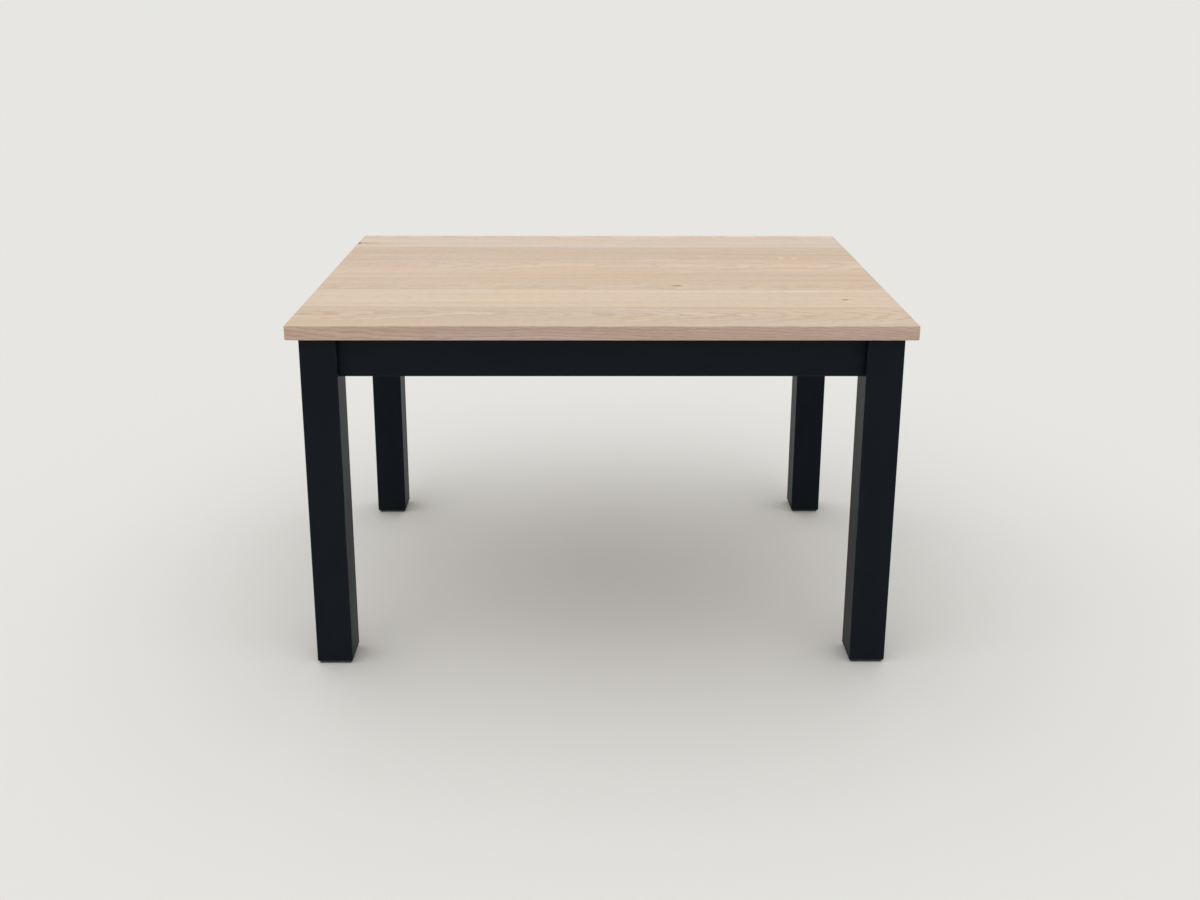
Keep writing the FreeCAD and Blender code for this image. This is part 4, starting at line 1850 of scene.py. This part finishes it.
    def nut(self) -> Bench:
        """Shape the nut from a six-sided rod by turning its corners off and boring it.

        Returns:
            The bench with the nut on it.
        """
        top = self.nut_height
        corner = self.nut_width / 2 / math.cos(math.pi / self.nut_sides)
        face = self.nut_width / 2 * self.nut_face_share
        drop = (corner - face) * math.tan(math.radians(self.nut_chamfer_angle))
        reach = corner * self.nut_reach_share
        outline = [
            (0.0, 0.0),
            (face, 0.0),
            (reach, drop),
            (reach, top - drop),
            (face, top),
            (0.0, top),
        ]
        bench = Bench.rod("nut", corner, 0.0, top, self.nut_sides)
        bench.keep_inside(Bench.turned("turned_corners", outline, self.round_sides))
        bench.cut(Bench.rod("bore", self.nut_bore_radius, -top, 2 * top, self.bolt_sides))
        bench.heal()
        bench.soften()
        return bench


@dataclass
class TopClips:
    """The bent steel clips that hold the top down, each with its screw.

    A clip is drawn at zero under the top, beside the inner face of the front apron.
    """

    sheet_thickness: float = 1.5 * MILLIMETRE
    width: float = 20.0 * MILLIMETRE
    drop: float = 9.5 * MILLIMETRE
    tongue_depth: float = 8.0 * MILLIMETRE
    riser_gap: float = 3.0 * MILLIMETRE
    pad_length: float = 20.0 * MILLIMETRE
    bend_radius: float = 1.7 * MILLIMETRE
    bend_steps: int = 5
    pad_corner_radius: float = 4.0 * MILLIMETRE
    pad_corner_steps: int = 5
    screw_hole_radius: float = 2.35 * MILLIMETRE
    screw_hole_sides: int = 24
    screw_length: float = 14.0 * MILLIMETRE
    long_apron_share: float = 0.25
    short_apron_boards: tuple[int, ...] = (2, 5)

    def build(self) -> None:
        """Model one clip and one screw, place them all round and dress them."""
        seats = self.seats()
        finish = ZincPlate("clip_zinc", ZincSheen.SATIN).material()
        names = ["top_clip_%d" % number for number in range(1, len(seats) + 1)]
        dress(self.clip().copies(names, seats), "top_clips", finish)
        seat = facing_along(self.screw_seat(), Vector((0.0, 0.0, 1.0)))
        screw_seats = [place @ seat for place in seats]
        names = ["clip_screw_%d" % number for number in range(1, len(seats) + 1)]
        screws = WoodScrew(self.screw_length).model().copies(names, screw_seats)
        dress(screws, "clip_screws", finish)

    def screw_seat(self) -> Vector:
        """Return where the clip's screw head rests."""
        pad_start = self.riser_gap + self.sheet_thickness
        return Vector((0.0, pad_start + self.pad_length / 2, -self.sheet_thickness))

    def seats(self) -> list[Matrix]:
        """Find where the clips sit: two on each apron.

        Returns:
            The places of all the clips.
        """
        front_low, front_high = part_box("apron_front")
        _, left_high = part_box("apron_left")
        height = front_high.z
        along = (front_high.x - front_low.x) * self.long_apron_share
        places = []
        for x in (-along, along):
            places.append((Vector((x, front_high.y, height)), 0.0))
            places.append((Vector((x, -front_high.y, height)), math.pi))
        for number in self.short_apron_boards:
            low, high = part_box("top_board_%d" % number)
            y = (low.y + high.y) / 2
            places.append((Vector((left_high.x, y, height)), -math.pi / 2))
            places.append((Vector((-left_high.x, y, height)), math.pi / 2))
        return [Matrix.Translation(spot) @ Matrix.Rotation(turn, 4, "Z") for spot, turn in places]

    def clip(self) -> Bench:
        """Bend a clip from its middle line, thicken it, round its pad and drill it.

        Returns:
            The bench with the clip on it.
        """
        half = self.sheet_thickness / 2
        riser = self.riser_gap + half
        pad_end = self.riser_gap + self.sheet_thickness + self.pad_length
        profile = [
            (-self.tongue_depth, -self.drop - half),
            (riser, -self.drop - half),
            (riser, -half),
            (pad_end, -half),
        ]

        def at_bend(ends: Sequence[Vector]) -> bool:
            """Say whether an edge is the line of a bend."""
            across = abs(ends[0].x - ends[1].x) > SAME_PLACE
            return across and all(abs(end.y - riser) < SAME_PLACE for end in ends)

        def at_pad_corner(ends: Sequence[Vector]) -> bool:
            """Say whether an edge is an upright corner at the pad's free end."""
            return is_upright(ends) and all(end.y > pad_end - SAME_PLACE for end in ends)

        bench = Bench.line("clip", [Vector((-self.width / 2, y, z)) for y, z in profile])
        bench.draw_out(Vector((self.width, 0.0, 0.0)))
        bench.bevel(at_bend, self.bend_radius, self.bend_steps)
        bench.thicken(self.sheet_thickness)
        bench.bevel(at_pad_corner, self.pad_corner_radius, self.pad_corner_steps)
        reach = 4 * self.sheet_thickness
        drill = Bench.rod("drill", self.screw_hole_radius, -reach, reach, self.screw_hole_sides)
        bench.cut(drill.move(Matrix.Translation(self.screw_seat())))
        bench.soften()
        return bench


@dataclass
class BattenScrews:
    """The four screws through the batten, one under the middle of each inner board."""

    screw_length: float = 35.0 * MILLIMETRE
    boards: tuple[int, ...] = (2, 3, 4, 5)

    def build(self) -> None:
        """Model one screw, place all four and dress them."""
        low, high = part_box("cross_batten")
        seats = []
        for number in self.boards:
            board_low, board_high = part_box("top_board_%d" % number)
            seat = Vector(((low.x + high.x) / 2, (board_low.y + board_high.y) / 2, low.z))
            seats.append(facing_along(seat, Vector((0.0, 0.0, 1.0))))
        names = ["batten_screw_%d" % number for number in range(1, len(seats) + 1)]
        screws = WoodScrew(self.screw_length).model().copies(names, seats)
        dress(screws, "batten_screws", ZincPlate("screw_zinc").material())


# The studio

@dataclass(frozen=True)
class SoftLight:
    """One wide even light from far away, by where it stands and how wide it looks."""

    name: str
    stands: Triple
    width: float
    strength: float

    def hang(self) -> None:
        """Add the lamp to the scene."""
        put_all_down()
        bpy.ops.object.light_add(type="SUN", location=self.stands)
        lamp = bpy.context.active_object
        lamp.name = self.name
        lamp.data.angle = math.radians(self.width)
        lamp.data.energy = self.strength
        lamp.rotation_mode = "QUATERNION"
        lamp.rotation_quaternion = Vector(self.stands).to_track_quat("Z", "Y")


@dataclass
class Studio:
    """A plain pale floor under soft light from above, and pale air all round."""

    floor_size: float = 400.0
    floor_shade: Triple = (0.760, 0.755, 0.740)
    air_light: float = 0.665
    air_shade: Triple = (0.802, 0.797, 0.771)
    soft_lights: tuple[SoftLight, ...] = (
        SoftLight("ceiling_light", (-0.3, -0.2, 3.0), 100.0, 1.64),
    )

    def build(self) -> None:
        """Lay the floor, fill the air with light and hang the lamps."""
        self.lay_floor()
        self.fill_air()
        for soft_light in self.soft_lights:
            soft_light.hang()
        bpy.context.scene.view_settings.view_transform = "Standard"

    def lay_floor(self) -> None:
        """Add the plain floor."""
        put_all_down()
        bpy.ops.mesh.primitive_plane_add(size=self.floor_size)
        floor = bpy.context.active_object
        floor.name = "floor"
        sheet = NodeSheet.for_finish("pale_floor")
        matt = sheet.node("ShaderNodeBsdfDiffuse", inputs={"Color": opaque(self.floor_shade)})
        floor.data.materials.append(sheet.finish(matt))

    def fill_air(self) -> None:
        """Light the scene evenly from all round, and show pale air behind it."""
        sheet = NodeSheet(bpy.data.worlds.new("air"))
        seen = sheet.node("ShaderNodeLightPath", output="Is Camera Ray")
        outputs = seen.socket.node.outputs
        for word in ("Is Glossy Ray", "Is Transmission Ray"):
            seen = sheet.math("MAXIMUM", seen, Signal(sheet, outputs[word]))
        strength = seen * (1.0 - self.air_light) + self.air_light
        inputs = {"Color": opaque(self.air_shade), "Strength": strength}
        bpy.context.scene.world = sheet.finish(sheet.node("ShaderNodeBackground", inputs=inputs))


@dataclass(frozen=True)
class ViewPoint:
    """Where the photograph was taken from, and the framing of its lens.

    Attributes:
        place: where the camera stands.
        down: how many degrees it looks down.
        aside: how many degrees it is turned to its left.
        roll: how many degrees it is rolled.
        lens: its focal length, in millimetres.
        sensor: the width of its picture, in millimetres.
        rise: how far its lens is shifted up, as a share of the picture's width.
    """

    place: Triple = (-0.02682, -2.67377, 1.41080)
    down: float = 14.066
    aside: float = -0.540
    roll: float = 0.172
    lens: float = 35.4
    sensor: float = 36.0
    rise: float = -0.14

    def set_up(self) -> None:
        """Make the camera and give it to the scene."""
        put_all_down()
        bpy.ops.object.camera_add(location=self.place)
        camera = bpy.context.active_object
        camera.name = "camera"
        turn = Matrix.Rotation(math.radians(self.aside), 3, "Z")
        turn = turn @ Matrix.Rotation(math.pi / 2 - math.radians(self.down), 3, "X")
        turn = turn @ Matrix.Rotation(math.radians(self.roll), 3, "Z")
        camera.rotation_euler = turn.to_euler()
        camera.data.sensor_width = self.sensor
        camera.data.lens = self.lens
        camera.data.shift_y = self.rise
        bpy.context.scene.camera = camera


def main() -> None:
    """Build and dress the table, and set up the camera and the studio."""
    logging.basicConfig(level=logging.INFO, format="%(name)s: %(message)s")
    ViewPoint().set_up()
    Studio().build()
    BoardTop().dress()
    PaintedFrame().dress()
    FeltPads().build()
    CornerJoint().build()
    TopClips().build()
    BattenScrews().build()
    put_all_down()


if __name__ == "__main__":
    main()
